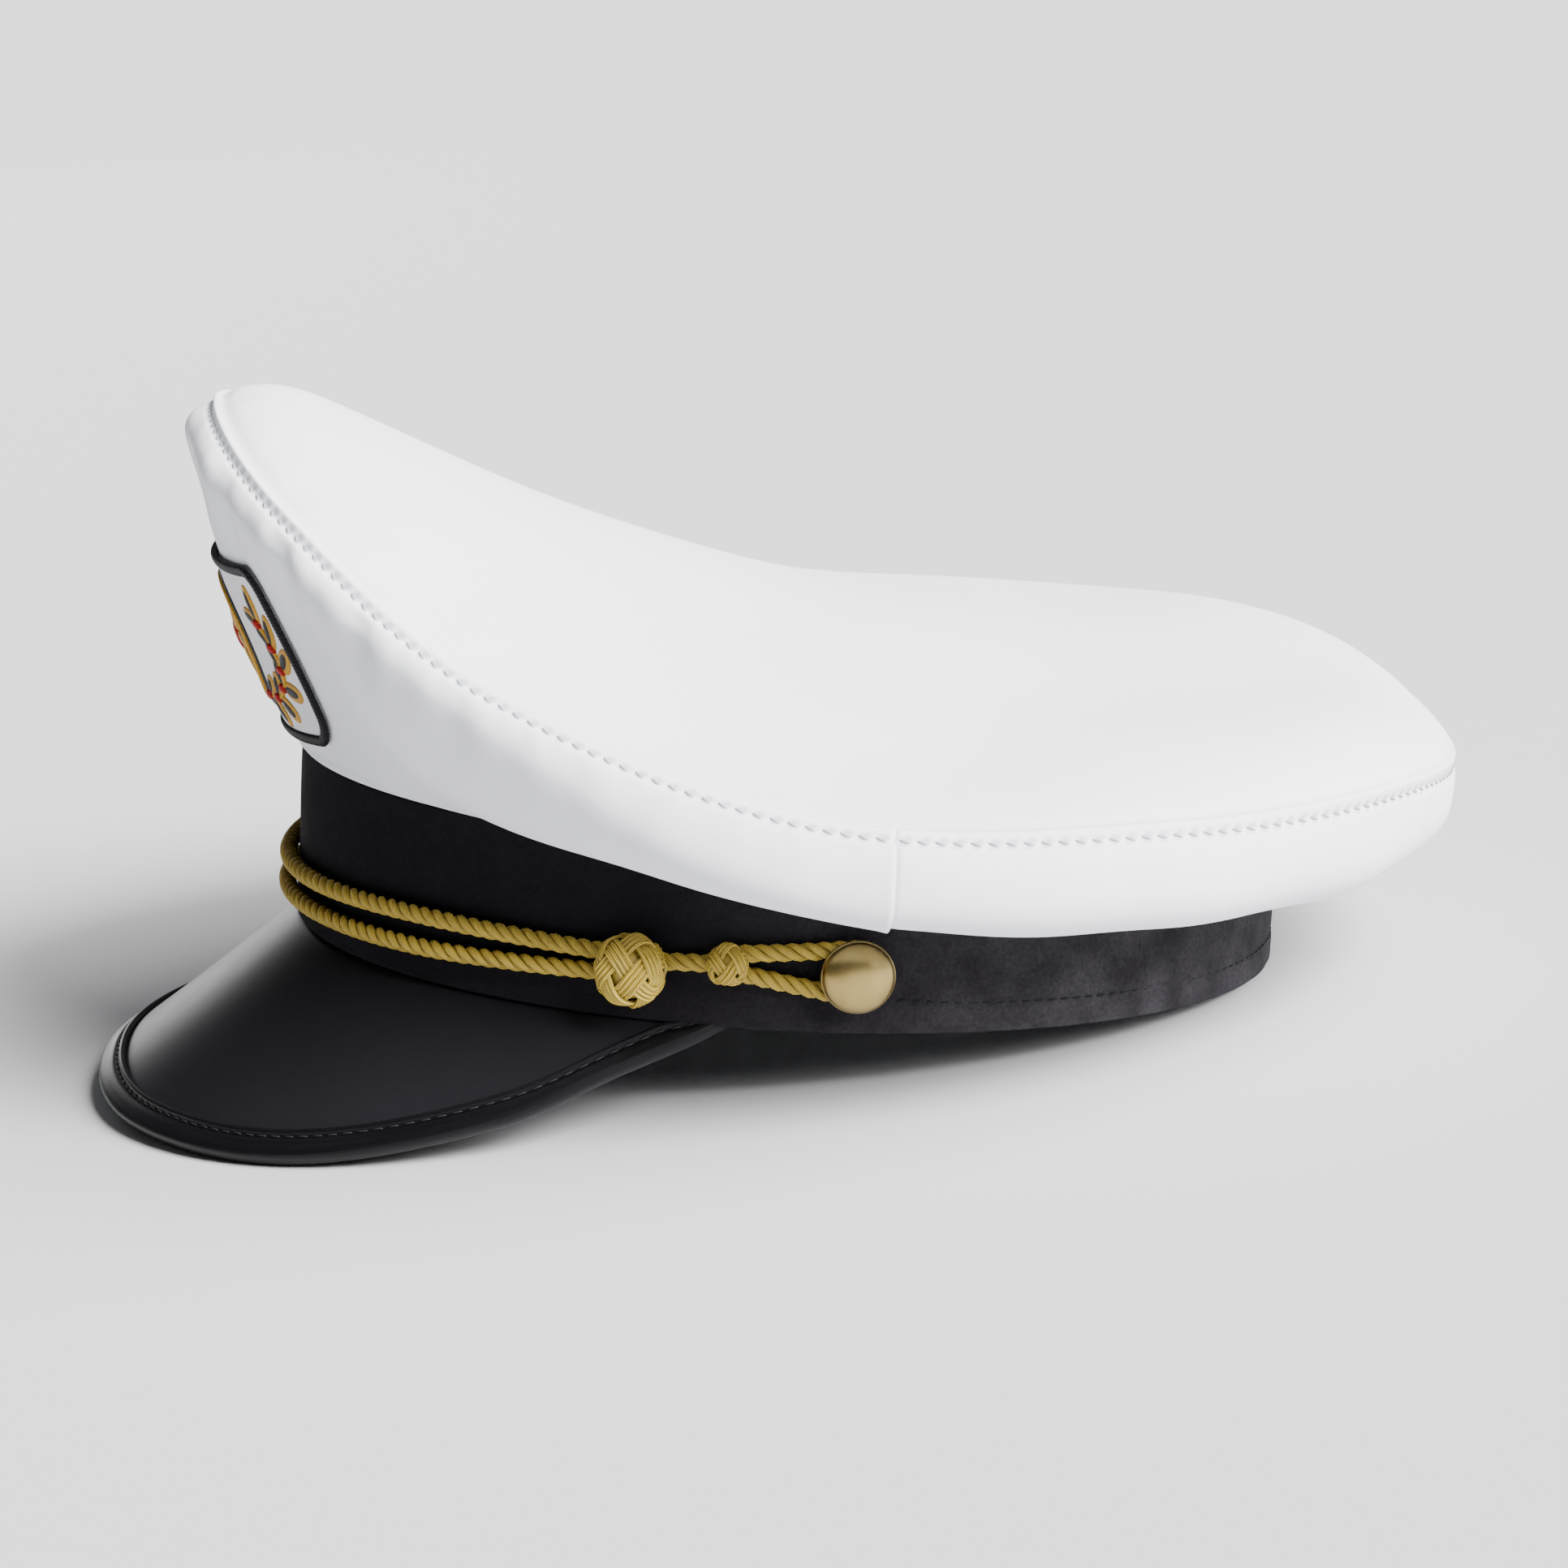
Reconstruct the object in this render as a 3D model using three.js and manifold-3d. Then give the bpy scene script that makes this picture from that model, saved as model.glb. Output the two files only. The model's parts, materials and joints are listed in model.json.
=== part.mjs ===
// A white-topped fatigue cap: an oval crown of white cloth with a high front, a black cloth
// band, a black shiny peak with a bound edge, a doubled gold cord with knots that loops over a
// domed button at each side, and a sewn badge on the front panel.
//
// Millimetres, +Z up. The cap faces -Y, and the wearer's left is +X. It is drawn upright in
// the cap's own frame, whose origin is the centre of the band's lower edge, and the last lines
// lay it down as it rests by itself: on the peak's edge and the back of the band.
// Angles round the head are in degrees: 0 at the front, 90 at the wearer's left, 180 behind.
import * as THREE from "three";
import Module from "manifold-3d";
import { mergeVertices } from "three/addons/utils/BufferGeometryUtils.js";

const wasm = await Module();
wasm.setup();

// Driving dimensions

const GAP = 0.3; // between pieces that touch on the real cap

// The band's outer face is an upright elliptical wall.
const BAND = { halfLength: 102, halfWidth: 84, height: 36, wall: 2, bevel: 0.4 };

const CLOTH = 1.5; // the crown's cloth with its stiff backing

// The crown round the head. over is how far its edge seam stands outside the band and seam
// how high. Below the seam the cloth rolls out by roll and down by drop to its widest, and
// above it the top swells by puff. The side leaves the band at the angle leave above level,
// and leaveBy and underBy say how far it keeps that way, and the way it stands at its widest.
const CROWN = [
  { at: 0, over: 20, seam: 105.5, roll: 6, drop: 6, leave: 56, leaveBy: 24, underBy: 4, puff: 15 },
  { at: 30, over: 21, seam: 92.6, roll: 4.3, drop: 5.5, leave: 72, leaveBy: 25, underBy: 5, puff: 7 },
  { at: 60, over: 26, seam: 67, roll: 4.8, drop: 6, leave: -9, leaveBy: 22, underBy: 6, puff: -4 },
  { at: 90, over: 32.8, seam: 50.4, roll: 5, drop: 11, leave: -25, leaveBy: 17, underBy: 14, puff: -3.5 },
  { at: 120, over: 38, seam: 50.6, roll: 4, drop: 11, leave: -44, leaveBy: 12, underBy: 18, puff: 7 },
  { at: 150, over: 37.3, seam: 51, roll: 1.2, drop: 9.5, leave: -46, leaveBy: 12, underBy: 19, puff: 13 },
  { at: 180, over: 34, seam: 47, roll: 1, drop: 6, leave: -41, leaveBy: 12, underBy: 14, puff: 11 },
];
const SIDE_SEAM = 96; // where the front and back panels of the crown are sewn together
const SIDE_SEAM_GAP = 0.2; // also in degrees
const PUFF_POWER = 12; // how close to the seam the top's swelling starts
const TOP_SHARES = [1, 0.98, 0.95, 0.9, 0.78, 0.55, 0.28, 0]; // rings, middle to seam

// The peak: its length down the slope at each angle, and its slope below level. Its ends tuck
// up inside the band, from the angle tuckFrom on.
const PEAK = [
  { at: 0, length: 54.5, slope: 41.8 },
  { at: 20, length: 54.4, slope: 41.8 },
  { at: 40, length: 46.9, slope: 42.8 },
  { at: 60, length: 27.5, slope: 44.5 },
  { at: 72, length: 10.8, slope: 45.5 },
  { at: 83, length: 2, slope: 47 },
];
const PEAK_END = 83;
const PEAK_INSET = 1; // its root lies this far under the band's edge
const PEAK_SHEET = 2;
const TUCK = { from: 70, rise: 4, inset: 3.5 };
const BINDING = { width: 7, cloth: 0.9, nose: 1.4, round: 1 };

// The gold cord, its knots and the buttons. Heights are above the band's lower edge.
const CORD_RADIUS = 1.8;
const BIG_KNOT = { at: 71.5, height: 11.6, radius: 7.5 };
const SMALL_KNOT = { at: 81.7, height: 13.8, radius: 4.4 };
const LINK = { nearBig: 12.8, nearSmall: 13.4 };
const BUTTON = { at: 95.6, height: 12.8, radius: 7.4, dome: 3.8, rim: 0.8, shank: 2.6 };
const LOOP = { radius: 4.9, start: 1.4 }; // start is how many degrees past the small knot's middle
const CORDS = [
  { at: 0, upper: 12, lower: 6 },
  { at: 20, upper: 12.5, lower: 6.4 },
  { at: 42, upper: 13.9, lower: 7.4 },
  { at: 56, upper: 14.1, lower: 8.6 },
  { at: 66, upper: 13.7, lower: 9.4 },
  { at: 72, upper: 13.3, lower: 9.5 },
];

// The badge on the front panel: measured round the panel and up it. A straight badge laid on
// a panel that flares upwards rises at its ends: bow is the rise there.
const BADGE = { halfWidth: 40.5, low: 38.6, high: 75, corner: 6, ground: 1, off: 0.5, bow: 4 };
const BORDER = { halfWidth: 1.1, halfHeight: 0.8 };
const STAR = { points: 8, height: 56.8, radius: 10, waist: 4.2, thick: 0.8 };
const PANEL_LEAN = 67; // the front panel's mean lean from level, in degrees

// Curves and tables

const rad = THREE.MathUtils.degToRad;

// A column of a table at an angle, by a smooth cubic through the rows. Both sides are alike,
// so the curve is level at the front and the back.
function column(table, name, degrees) {
  const last = table[table.length - 1].at;
  const turn = Math.abs(THREE.MathUtils.euclideanModulo(degrees + 180, 360) - 180);
  const at = Math.min(turn, last);
  let i = 0;
  while (i < table.length - 2 && at > table[i + 1].at) i++;
  const slope = (k) => {
    if (k === 0 || table[k].at === 180) return 0;
    const a = table[Math.max(k - 1, 0)];
    const b = table[Math.min(k + 1, table.length - 1)];
    return (b[name] - a[name]) / (b.at - a.at);
  };
  const span = table[i + 1].at - table[i].at;
  const t = (at - table[i].at) / span;
  const h = t * t * (3 - 2 * t);
  return (
    table[i][name] * (1 - h) +
    table[i + 1][name] * h +
    span * (slope(i) * t * (1 - t) * (1 - t) - slope(i + 1) * t * t * (1 - t))
  );
}

// A point at an angle, outside the band's face by out and at a height.
function around(degrees, out, height) {
  const a = rad(degrees);
  const { halfLength: l, halfWidth: w } = BAND;
  const n = new THREE.Vector2(l * Math.sin(a), -w * Math.cos(a)).normalize();
  return new THREE.Vector3(w * Math.sin(a) + n.x * out, -l * Math.cos(a) + n.y * out, height);
}

// The band's outward direction at an angle.
function outward(degrees) {
  return around(degrees, 1, 0).sub(around(degrees, 0, 0));
}

function range(count, from, to) {
  return Array.from({ length: count + 1 }, (_, i) => from + ((to - from) * i) / count);
}

// Solids

// A geometry through outlines of equal count, one after another. Each outline runs along one
// side of a sheet and back along the other, so an open loft's ends are closed by strips
// across the sheet, and a ring joins its last outline to its first.
function loft(outlines, ring = false) {
  const n = outlines[0].length;
  const last = outlines.length - 1;
  const index = [];
  const quad = (a, b, c, d) => index.push(a, b, c, a, c, d);
  for (let i = 0; i < (ring ? outlines.length : last); i++) {
    const next = ((i + 1) % outlines.length) * n;
    for (let j = 0; j < n; j++) {
      const k = (j + 1) % n;
      quad(i * n + j, i * n + k, next + k, next + j);
    }
  }
  if (!ring)
    for (let j = 0; j < n / 2 - 1; j++) {
      const [a, b, c, d] = [j, j + 1, n - 2 - j, n - 1 - j];
      quad(d, c, b, a);
      quad(last * n + a, last * n + b, last * n + c, last * n + d);
    }
  const points = outlines.flat();
  const kept = [];
  for (let i = 0; i < index.length; i += 3) {
    const [a, b, c] = index.slice(i, i + 3).map((k) => points[k]);
    const sides = [a.distanceTo(b), b.distanceTo(c), c.distanceTo(a)];
    if (Math.min(...sides) > 1e-4) kept.push(...index.slice(i, i + 3));
  }
  const made = new THREE.BufferGeometry().setFromPoints(points);
  made.setIndex(kept);
  return outwards(mergeVertices(made, 1e-4));
}

// The geometry with its faces pointing out.
function outwards(made) {
  const p = made.getAttribute("position");
  const [a, b, c] = [0, 1, 2].map(() => new THREE.Vector3());
  const index = made.index.array;
  let volume = 0;
  for (let i = 0; i < index.length; i += 3) {
    a.fromBufferAttribute(p, index[i]);
    b.fromBufferAttribute(p, index[i + 1]);
    c.fromBufferAttribute(p, index[i + 2]);
    volume += a.dot(b.cross(c));
  }
  if (volume > 0) return made;
  const turned = [];
  for (let i = 0; i < index.length; i += 3) turned.push(index[i], index[i + 2], index[i + 1]);
  made.setIndex(turned);
  return made;
}

function solid(made) {
  const bare = made.clone();
  for (const name of Object.keys(bare.attributes))
    if (name !== "position") bare.deleteAttribute(name);
  const merged = mergeVertices(bare, 1e-4);
  return new wasm.Manifold(
    new wasm.Mesh({
      numProp: 3,
      vertProperties: new Float32Array(merged.getAttribute("position").array),
      triVerts: new Uint32Array(merged.index.array),
    }),
  );
}

function cut(made, ...tools) {
  const left = tools.reduce((body, tool) => body.subtract(solid(tool)), solid(made));
  const mesh = left.getMesh();
  const result = new THREE.BufferGeometry();
  result.setAttribute("position", new THREE.BufferAttribute(mesh.vertProperties, 3));
  result.setIndex(new THREE.BufferAttribute(mesh.triVerts, 1));
  return result;
}

// Points along an outline in (out, height), moved sideways to the left of its run by a distance.
function beside(line, distance) {
  return line.map((p, i) => {
    const run = line[Math.min(i + 1, line.length - 1)].clone().sub(line[Math.max(i - 1, 0)]);
    run.normalize();
    return new THREE.Vector2(p.x - run.y * distance, p.y + run.x * distance);
  });
}

// The band: one wall round the head.
function bandGeometry() {
  const { wall, height, bevel } = BAND;
  const outline = [
    [-wall, 0],
    [-bevel, 0],
    [0, bevel],
    [0, height - bevel],
    [-bevel, height],
    [-wall, height],
  ];
  const angles = range(60, -180, 180).slice(0, -1);
  return loft(angles.map((a) => outline.map(([out, z]) => around(a, out, z))), true);
}

const TERMS = 6;

// The first cosine terms of a column round the head, for a curve alike on both sides.
function terms(table, name) {
  const samples = range(180, 0.5, 180.5).slice(0, -1);
  return range(TERMS - 1, 0, TERMS - 1).map((n) => {
    const sum = samples.reduce((s, a) => s + column(table, name, a) * Math.cos(rad(n * a)), 0);
    return (sum / samples.length) * (n ? 2 : 1);
  });
}

const seamTerms = terms(CROWN, "seam");
const puffTerms = terms(CROWN, "puff");
const topFront = around(0, CROWN[0].over, 0);
const topBack = around(180, CROWN[CROWN.length - 1].over, 0);
const topMiddle = topFront.clone().add(topBack).multiplyScalar(0.5);

// The crown's top at share r of the way from its middle to the seam. The cloth is stretched
// like a drum skin over a ring that stands puff above the seam, so each cosine term of the
// ring's height fades as r to its order, and at the edge it turns down to the seam.
function topPoint(degrees, r) {
  const puff = column(CROWN, "puff", degrees);
  const ring = column(CROWN, "seam", degrees) + puff;
  const p = topMiddle.clone().lerp(around(degrees, column(CROWN, "over", degrees), 0), r);
  const skin = seamTerms.reduce((z, term, n) => {
    return z + (term + puffTerms[n]) * (r ** n - r ** TERMS) * Math.cos(rad(n * degrees));
  }, ring * r ** TERMS);
  p.z = skin - puff * r ** PUFF_POWER;
  return p;
}

// The angle at which the top leaves the seam, above level and inwards.
function topAngle(degrees) {
  const [edge, inner] = [topPoint(degrees, 1), topPoint(degrees, 0.985)];
  return Math.atan2(inner.z - edge.z, Math.hypot(inner.x - edge.x, inner.y - edge.y));
}

const UNDER_STEPS = 6;
const ROLL_STEPS = 3;
const ROUND = 0.55; // the handle that makes a cubic curve's quarter turn round

// The crown's side from the band to the seam, in (out, height): out to its widest, then over
// the roll to the seam.
function sideLine(degrees) {
  const value = (name) => column(CROWN, name, degrees);
  const v = (x, y) => new THREE.Vector2(x, y);
  const join = v(GAP, BAND.height + GAP);
  const seam = v(value("over"), value("seam"));
  const widest = v(seam.x + value("roll"), seam.y - value("drop"));
  const leave = rad(value("leave"));
  const turn = topAngle(degrees);
  const under = new THREE.CubicBezierCurve(
    join,
    join.clone().add(v(Math.cos(leave), Math.sin(leave)).multiplyScalar(value("leaveBy"))),
    v(widest.x, widest.y - value("underBy")),
    widest,
  );
  const over = new THREE.CubicBezierCurve(
    widest,
    v(widest.x, widest.y + ROUND * value("drop")),
    seam.clone().sub(v(-Math.cos(turn), Math.sin(turn)).multiplyScalar(ROUND * value("roll"))),
    seam,
  );
  return [...under.getPoints(UNDER_STEPS), ...over.getPoints(ROLL_STEPS).slice(1)];
}

// The angles of the crown's drawn sections: the front panel's, then the back panel's.
const frontAngles = range(32, -SIDE_SEAM, SIDE_SEAM);
const backAngles = range(28, SIDE_SEAM + SIDE_SEAM_GAP, 360 - SIDE_SEAM - SIDE_SEAM_GAP);

// One panel of the crown's side.
function sidePanel(angles) {
  const outlines = angles.map((a) => {
    const outer = sideLine(a);
    const inner = beside(outer, CLOTH);
    const turn = topAngle(a);
    inner[inner.length - 1]
      .set(-Math.sin(turn), -Math.cos(turn))
      .multiplyScalar(CLOTH)
      .add(outer[outer.length - 1]);
    return [...outer, ...inner.reverse()].map((p) => around(a, p.x, p.y));
  });
  return loft(outlines);
}

// The crown's top: its outer face from the seam to the middle, and back along the inner one,
// drawn as (distance from the middle, height) at each angle.
function topGeometry() {
  const outlines = [...frontAngles, ...backAngles.slice(1, -1)].map((a) => {
    const seam = topPoint(a, 1).setZ(0);
    const reach = seam.distanceTo(topMiddle);
    const shares = TOP_SHARES.map((r) => Math.min(r, 1 - GAP / reach));
    const outer = shares.map((r) => new THREE.Vector2(r * reach, topPoint(a, r).z));
    const inner = beside(outer, CLOTH);
    inner[inner.length - 1].set(0, outer[outer.length - 1].y - CLOTH);
    return [...outer, ...inner.reverse()].map((p) => {
      return topMiddle.clone().lerp(seam, p.x / reach).setZ(p.y);
    });
  });
  return loft(outlines, true);
}

// A point of the peak at an angle: along the slope from its root, and above its upper face.
function peakPoint(degrees, along, above) {
  const slope = rad(column(PEAK, "slope", degrees));
  const tucked = Math.max((Math.abs(degrees) - TUCK.from) / (PEAK_END - TUCK.from), 0) ** 2;
  const out = along * Math.cos(slope) + above * Math.sin(slope);
  const height = above * Math.cos(slope) - along * Math.sin(slope);
  return around(
    degrees,
    out - PEAK_INSET - TUCK.inset * tucked,
    height - GAP + TUCK.rise * tucked,
  );
}

const peakAngles = range(36, -PEAK_END, PEAK_END);

function peakGeometry() {
  const shares = range(3, 0, 1);
  const outlines = peakAngles.map((a) => {
    const end = column(PEAK, "length", a) - BINDING.nose - GAP;
    const upper = shares.map((s) => peakPoint(a, end * s, 0));
    const under = shares.map((s) => peakPoint(a, end * s, -PEAK_SHEET));
    return [...upper, ...under.reverse()];
  });
  return cut(loft(outlines), bandRoom());
}

// The room that the band needs, with a gap round it.
function bandRoom() {
  const { wall, height } = BAND;
  const outline = [
    [-wall - 3 * GAP, -GAP],
    [1.2 * GAP, -GAP],
    [1.2 * GAP, height],
    [-wall - 3 * GAP, height],
  ];
  const angles = range(60, -180, 180).slice(0, -1);
  return loft(angles.map((a) => outline.map(([out, z]) => around(a, out, z))), true);
}

// The binding: a strip folded round the peak's edge.
function bindingGeometry() {
  const { width, cloth, nose, round } = BINDING;
  const [top, low] = [GAP, -PEAK_SHEET - GAP];
  const outlines = peakAngles.map((a) => {
    const end = column(PEAK, "length", a);
    const start = end - Math.min(width, end - cloth);
    const outside = [
      [start, top + cloth / 2],
      [start + cloth / 2, top + cloth],
      [end - round, top + cloth],
      [end, top],
      [end, low],
      [end - round, low - cloth],
      [start, low - cloth],
    ];
    const inside = [
      [start, top],
      [start + cloth / 2, top],
      [end - nose, top],
      [end - nose, top / 2],
      [end - nose, low / 2],
      [end - nose, low],
      [start, low],
    ];
    return [...outside, ...inside.reverse()].map(([along, above]) => peakPoint(a, along, above));
  });
  return cut(loft(outlines), bandRoom());
}

// A round cord along points, as an extrusion of an eight-sided section.
function cordGeometry(points, steps) {
  const section = new THREE.Shape(
    range(8, 0, 360).slice(0, -1).map((a) => {
      const v = new THREE.Vector2(Math.cos(rad(a)), Math.sin(rad(a)));
      return v.multiplyScalar(CORD_RADIUS);
    }),
  );
  const path = new THREE.CatmullRomCurve3(points, false, "centripetal");
  return new THREE.ExtrudeGeometry(section, { steps, extrudePath: path, bevelEnabled: false });
}

const ON_BAND = CORD_RADIUS + GAP; // a cord's centre line stands this far off the band
const KNOT_DEPTH = 0.8; // a knot's depth as a share of its width

function knotGeometry(knot, side, grow = 0) {
  const ball = new THREE.SphereGeometry(knot.radius + grow, 12, 8);
  ball.scale(1, 1, KNOT_DEPTH);
  ball.lookAt(outward(side * knot.at));
  const centre = around(side * knot.at, knot.radius * KNOT_DEPTH + GAP, knot.height);
  return ball.translate(centre.x, centre.y, centre.z);
}

// A front cord from the big knot on one side to the one on the other.
function frontCord(level) {
  const reach = BIG_KNOT.at - 1;
  const points = range(30, -reach, reach).map((a) => {
    return around(a, ON_BAND, column(CORDS, level, a));
  });
  const knots = [1, -1].map((side) => knotGeometry(BIG_KNOT, side, GAP));
  return cut(cordGeometry(points, 38), ...knots);
}

// The single cord between the two knots of one side.
function linkCord(side) {
  const points = range(3, 0, 1).map((t) => {
    const at = THREE.MathUtils.lerp(BIG_KNOT.at, SMALL_KNOT.at, t);
    return around(side * at, ON_BAND, THREE.MathUtils.lerp(LINK.nearBig, LINK.nearSmall, t));
  });
  const knots = [BIG_KNOT, SMALL_KNOT].map((knot) => knotGeometry(knot, side, GAP));
  return cut(cordGeometry(points, 4), ...knots);
}

// The loop from the small knot round the button's shank and back.
function loopCord(side) {
  const perDegree = around(BUTTON.at, 0, 0).distanceTo(around(BUTTON.at - 1, 0, 0));
  const behind = range(6, 90, -90).map((t) => ({
    at: BUTTON.at + (LOOP.radius * Math.cos(rad(t))) / perDegree,
    height: BUTTON.height + LOOP.radius * Math.sin(rad(t)),
  }));
  const apart = CORD_RADIUS + GAP / 2;
  const ends = [1, -1].map((way) => ({
    at: SMALL_KNOT.at + LOOP.start,
    height: SMALL_KNOT.height + way * apart,
  }));
  const halfway = (p, q) => ({ at: (p.at + q.at) / 2, height: (p.height + q.height) / 2 });
  const [upper, lower] = [halfway(ends[0], behind[0]), halfway(ends[1], behind[6])];
  const route = [ends[0], upper, ...behind, lower, ends[1]];
  const points = route.map((p) => around(side * p.at, ON_BAND, p.height));
  return cut(cordGeometry(points, 18), knotGeometry(SMALL_KNOT, side, GAP));
}

// A domed button: a shank and a dome with a thin rim, turned about its axis.
function buttonGeometry() {
  const { radius, dome, rim, shank } = BUTTON;
  const base = 2 * CORD_RADIUS + 2 * GAP;
  const curve = range(4, 0, 75).map(
    (t) => new THREE.Vector2(radius * Math.cos(rad(t)), base + rim + dome * Math.sin(rad(t))),
  );
  const profile = [
    new THREE.Vector2(0, GAP),
    new THREE.Vector2(shank, GAP),
    new THREE.Vector2(shank, base),
    new THREE.Vector2(radius, base),
    ...curve,
    new THREE.Vector2(0, base + rim + dome),
  ];
  return new THREE.LatheGeometry(profile, 16).rotateX(Math.PI / 2);
}

// A point off the front panel's outer face, by its place on the badge's flat drawing:
// distance from the middle and height.
function panelPoint(across, drawn, off) {
  const height = drawn + BADGE.bow * (across / BADGE.halfWidth) ** 2;
  const reach = around(1, (height - BAND.height) / Math.tan(rad(PANEL_LEAN)), 0).x;
  const degrees = across / reach;
  const line = beside(sideLine(degrees), -off);
  const i = Math.max(line.findIndex((p) => p.y > height), 1);
  const t = (height - line[i - 1].y) / (line[i].y - line[i - 1].y);
  return around(degrees, THREE.MathUtils.lerp(line[i - 1].x, line[i].x, t), height);
}

// How far the badge's upper and lower edges draw in at a distance from its middle, by its
// round corners, with its outline taken in by a margin.
function badgeCorner(across, margin) {
  const radius = BADGE.corner - margin;
  const into = Math.max(Math.abs(across) - (BADGE.halfWidth - BADGE.corner), 0);
  return radius - Math.sqrt(Math.max(radius ** 2 - into ** 2, 0));
}

// The badge's ground: strips across the panel, each a few steps high.
function badgeGround() {
  const { halfWidth, low, high, corner, ground, off } = BADGE;
  const margin = 2 * BORDER.halfWidth + 2 * GAP;
  const [flat, end] = [halfWidth - corner, halfWidth - margin - GAP];
  const side = range(3, flat, end);
  const columns = [...side.map((x) => -x).reverse(), ...range(8, -flat, flat).slice(1, -1), ...side];
  const outlines = columns.map((x) => {
    const short = margin + badgeCorner(x, margin);
    const heights = range(5, low + short, high - short);
    const back = heights.map((z) => panelPoint(x, z, off));
    const face = heights.map((z) => panelPoint(x, z, off + ground));
    return [...back, ...face.reverse()];
  });
  return loft(outlines);
}

// The badge's border: a flattened roll along its outline.
function badgeBorder() {
  const { halfWidth, low, high, corner, off } = BADGE;
  const [w, r] = [halfWidth - BORDER.halfWidth, corner - BORDER.halfWidth];
  const [z0, z1] = [low + BORDER.halfWidth, high - BORDER.halfWidth];
  const outline = new THREE.Shape();
  outline.moveTo(r - w, z0);
  outline.lineTo(w - r, z0);
  outline.absarc(w - r, z0 + r, r, -Math.PI / 2, 0);
  outline.absarc(w - r, z1 - r, r, 0, Math.PI / 2);
  outline.absarc(r - w, z1 - r, r, Math.PI / 2, Math.PI);
  outline.absarc(r - w, z0 + r, r, Math.PI, 1.5 * Math.PI);
  const line = outline.getSpacedPoints(44).slice(0, -1);
  const outlines = line.map((p, i) => {
    const run = line[(i + 1) % line.length].clone().sub(line.at(i - 1)).normalize();
    return range(6, 0, 360).slice(0, -1).map((t) => {
      const side = BORDER.halfWidth * Math.cos(rad(t));
      const rise = off + BORDER.halfHeight * (1 + Math.sin(rad(t)));
      return panelPoint(p.x - run.y * side, p.y + run.x * side, rise);
    });
  });
  return loft(outlines, true);
}

// The badge's star: a flat piece with points all round, a little proud of the ground.
function badgeStar() {
  const { points, height, radius, waist, thick } = STAR;
  const back = BADGE.off + BADGE.ground + 1.5 * GAP;
  const outlines = range(2 * points, 0, 360).slice(0, -1).map((t, i) => {
    const reach = i % 2 ? waist : radius;
    const at = (share, off) => {
      const [x, z] = [Math.sin(rad(t)) * reach * share, Math.cos(rad(t)) * reach * share];
      return panelPoint(x, height + z, off);
    };
    return [at(0, back + thick), at(1, back + thick), at(1, back), at(0, back)];
  });
  return loft(outlines, true);
}

// The assembly

const WHITE_CLOTH = { color: 0xeceef2, roughness: 0.85, metalness: 0 };
const BLACK_CLOTH = { color: 0x17151a, roughness: 0.9, metalness: 0 };
const BLACK_VINYL = { color: 0x121216, roughness: 0.25, metalness: 0 };
const GOLD_CORD = { color: 0xc9a84a, roughness: 0.55, metalness: 0.2 };
const BRASS = { color: 0xb8975a, roughness: 0.35, metalness: 1 };
const BADGE_WHITE = { color: 0xe6e6e8, roughness: 0.8, metalness: 0 };
const BADGE_BLACK = { color: 0x1c1c22, roughness: 0.75, metalness: 0 };

const cap = new THREE.Group();

function add(name, geometry, look) {
  const mesh = new THREE.Mesh(geometry, new THREE.MeshStandardMaterial(look));
  mesh.name = name;
  cap.add(mesh);
  return mesh;
}

add("band", bandGeometry(), BLACK_CLOTH);
add("crown_front", sidePanel(frontAngles), WHITE_CLOTH);
add("crown_back", sidePanel(backAngles), WHITE_CLOTH);
add("crown_top", topGeometry(), WHITE_CLOTH);
add("peak", peakGeometry(), BLACK_VINYL);
add("peak_binding", bindingGeometry(), BLACK_VINYL);
add("cord_upper", frontCord("upper"), GOLD_CORD);
add("cord_lower", frontCord("lower"), GOLD_CORD);
for (const [word, side] of [["left", 1], ["right", -1]]) {
  add("knot_big_" + word, knotGeometry(BIG_KNOT, side), GOLD_CORD);
  add("cord_link_" + word, linkCord(side), GOLD_CORD);
  add("knot_small_" + word, knotGeometry(SMALL_KNOT, side), GOLD_CORD);
  add("cord_loop_" + word, loopCord(side), GOLD_CORD);
  const button = add("button_" + word, buttonGeometry(), BRASS);
  button.position.copy(around(side * BUTTON.at, 0, BUTTON.height));
  button.lookAt(button.position.clone().add(outward(side * BUTTON.at)));
}
add("badge_ground", badgeGround(), BADGE_WHITE);
add("badge_border", badgeBorder(), BADGE_BLACK);
add("badge_star", badgeStar(), GOLD_CORD);

// At rest the cap leans back on two points of the peak's edge and the back of the band.
const heel = around(180, -BAND.bevel, 0);
const edge = peakAngles.flatMap((a) => {
  const end = column(PEAK, "length", a);
  const low = -PEAK_SHEET - GAP;
  return [peakPoint(a, end, low), peakPoint(a, end - BINDING.round, low - BINDING.cloth)];
});
const lean = Math.max(...edge.map((p) => Math.atan2(heel.z - p.z, heel.y - p.y)));
cap.rotation.x = -lean;
cap.updateMatrixWorld(true);

const resting = new THREE.Group();
resting.add(cap);
const box = new THREE.Box3().setFromObject(resting, true);
const middle = box.getCenter(new THREE.Vector3());
cap.position.set(-middle.x, -middle.y, -box.min.z);

export default resting;
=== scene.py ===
# %% [markdown]
# # A white-topped fatigue cap
#
# The cap's solids come from CAD as the frame. This lesson dresses them: every soft or shiny
# part gets a fine surface worked out with numpy, and a finish made of shader nodes. Lengths
# are in millimetres in the cap's own upright frame until the last step of each piece, which
# leans the cap back as it rests and turns the lengths into metres.

import json

import bmesh
import bpy
import numpy as np
from mathutils import Matrix


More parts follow.
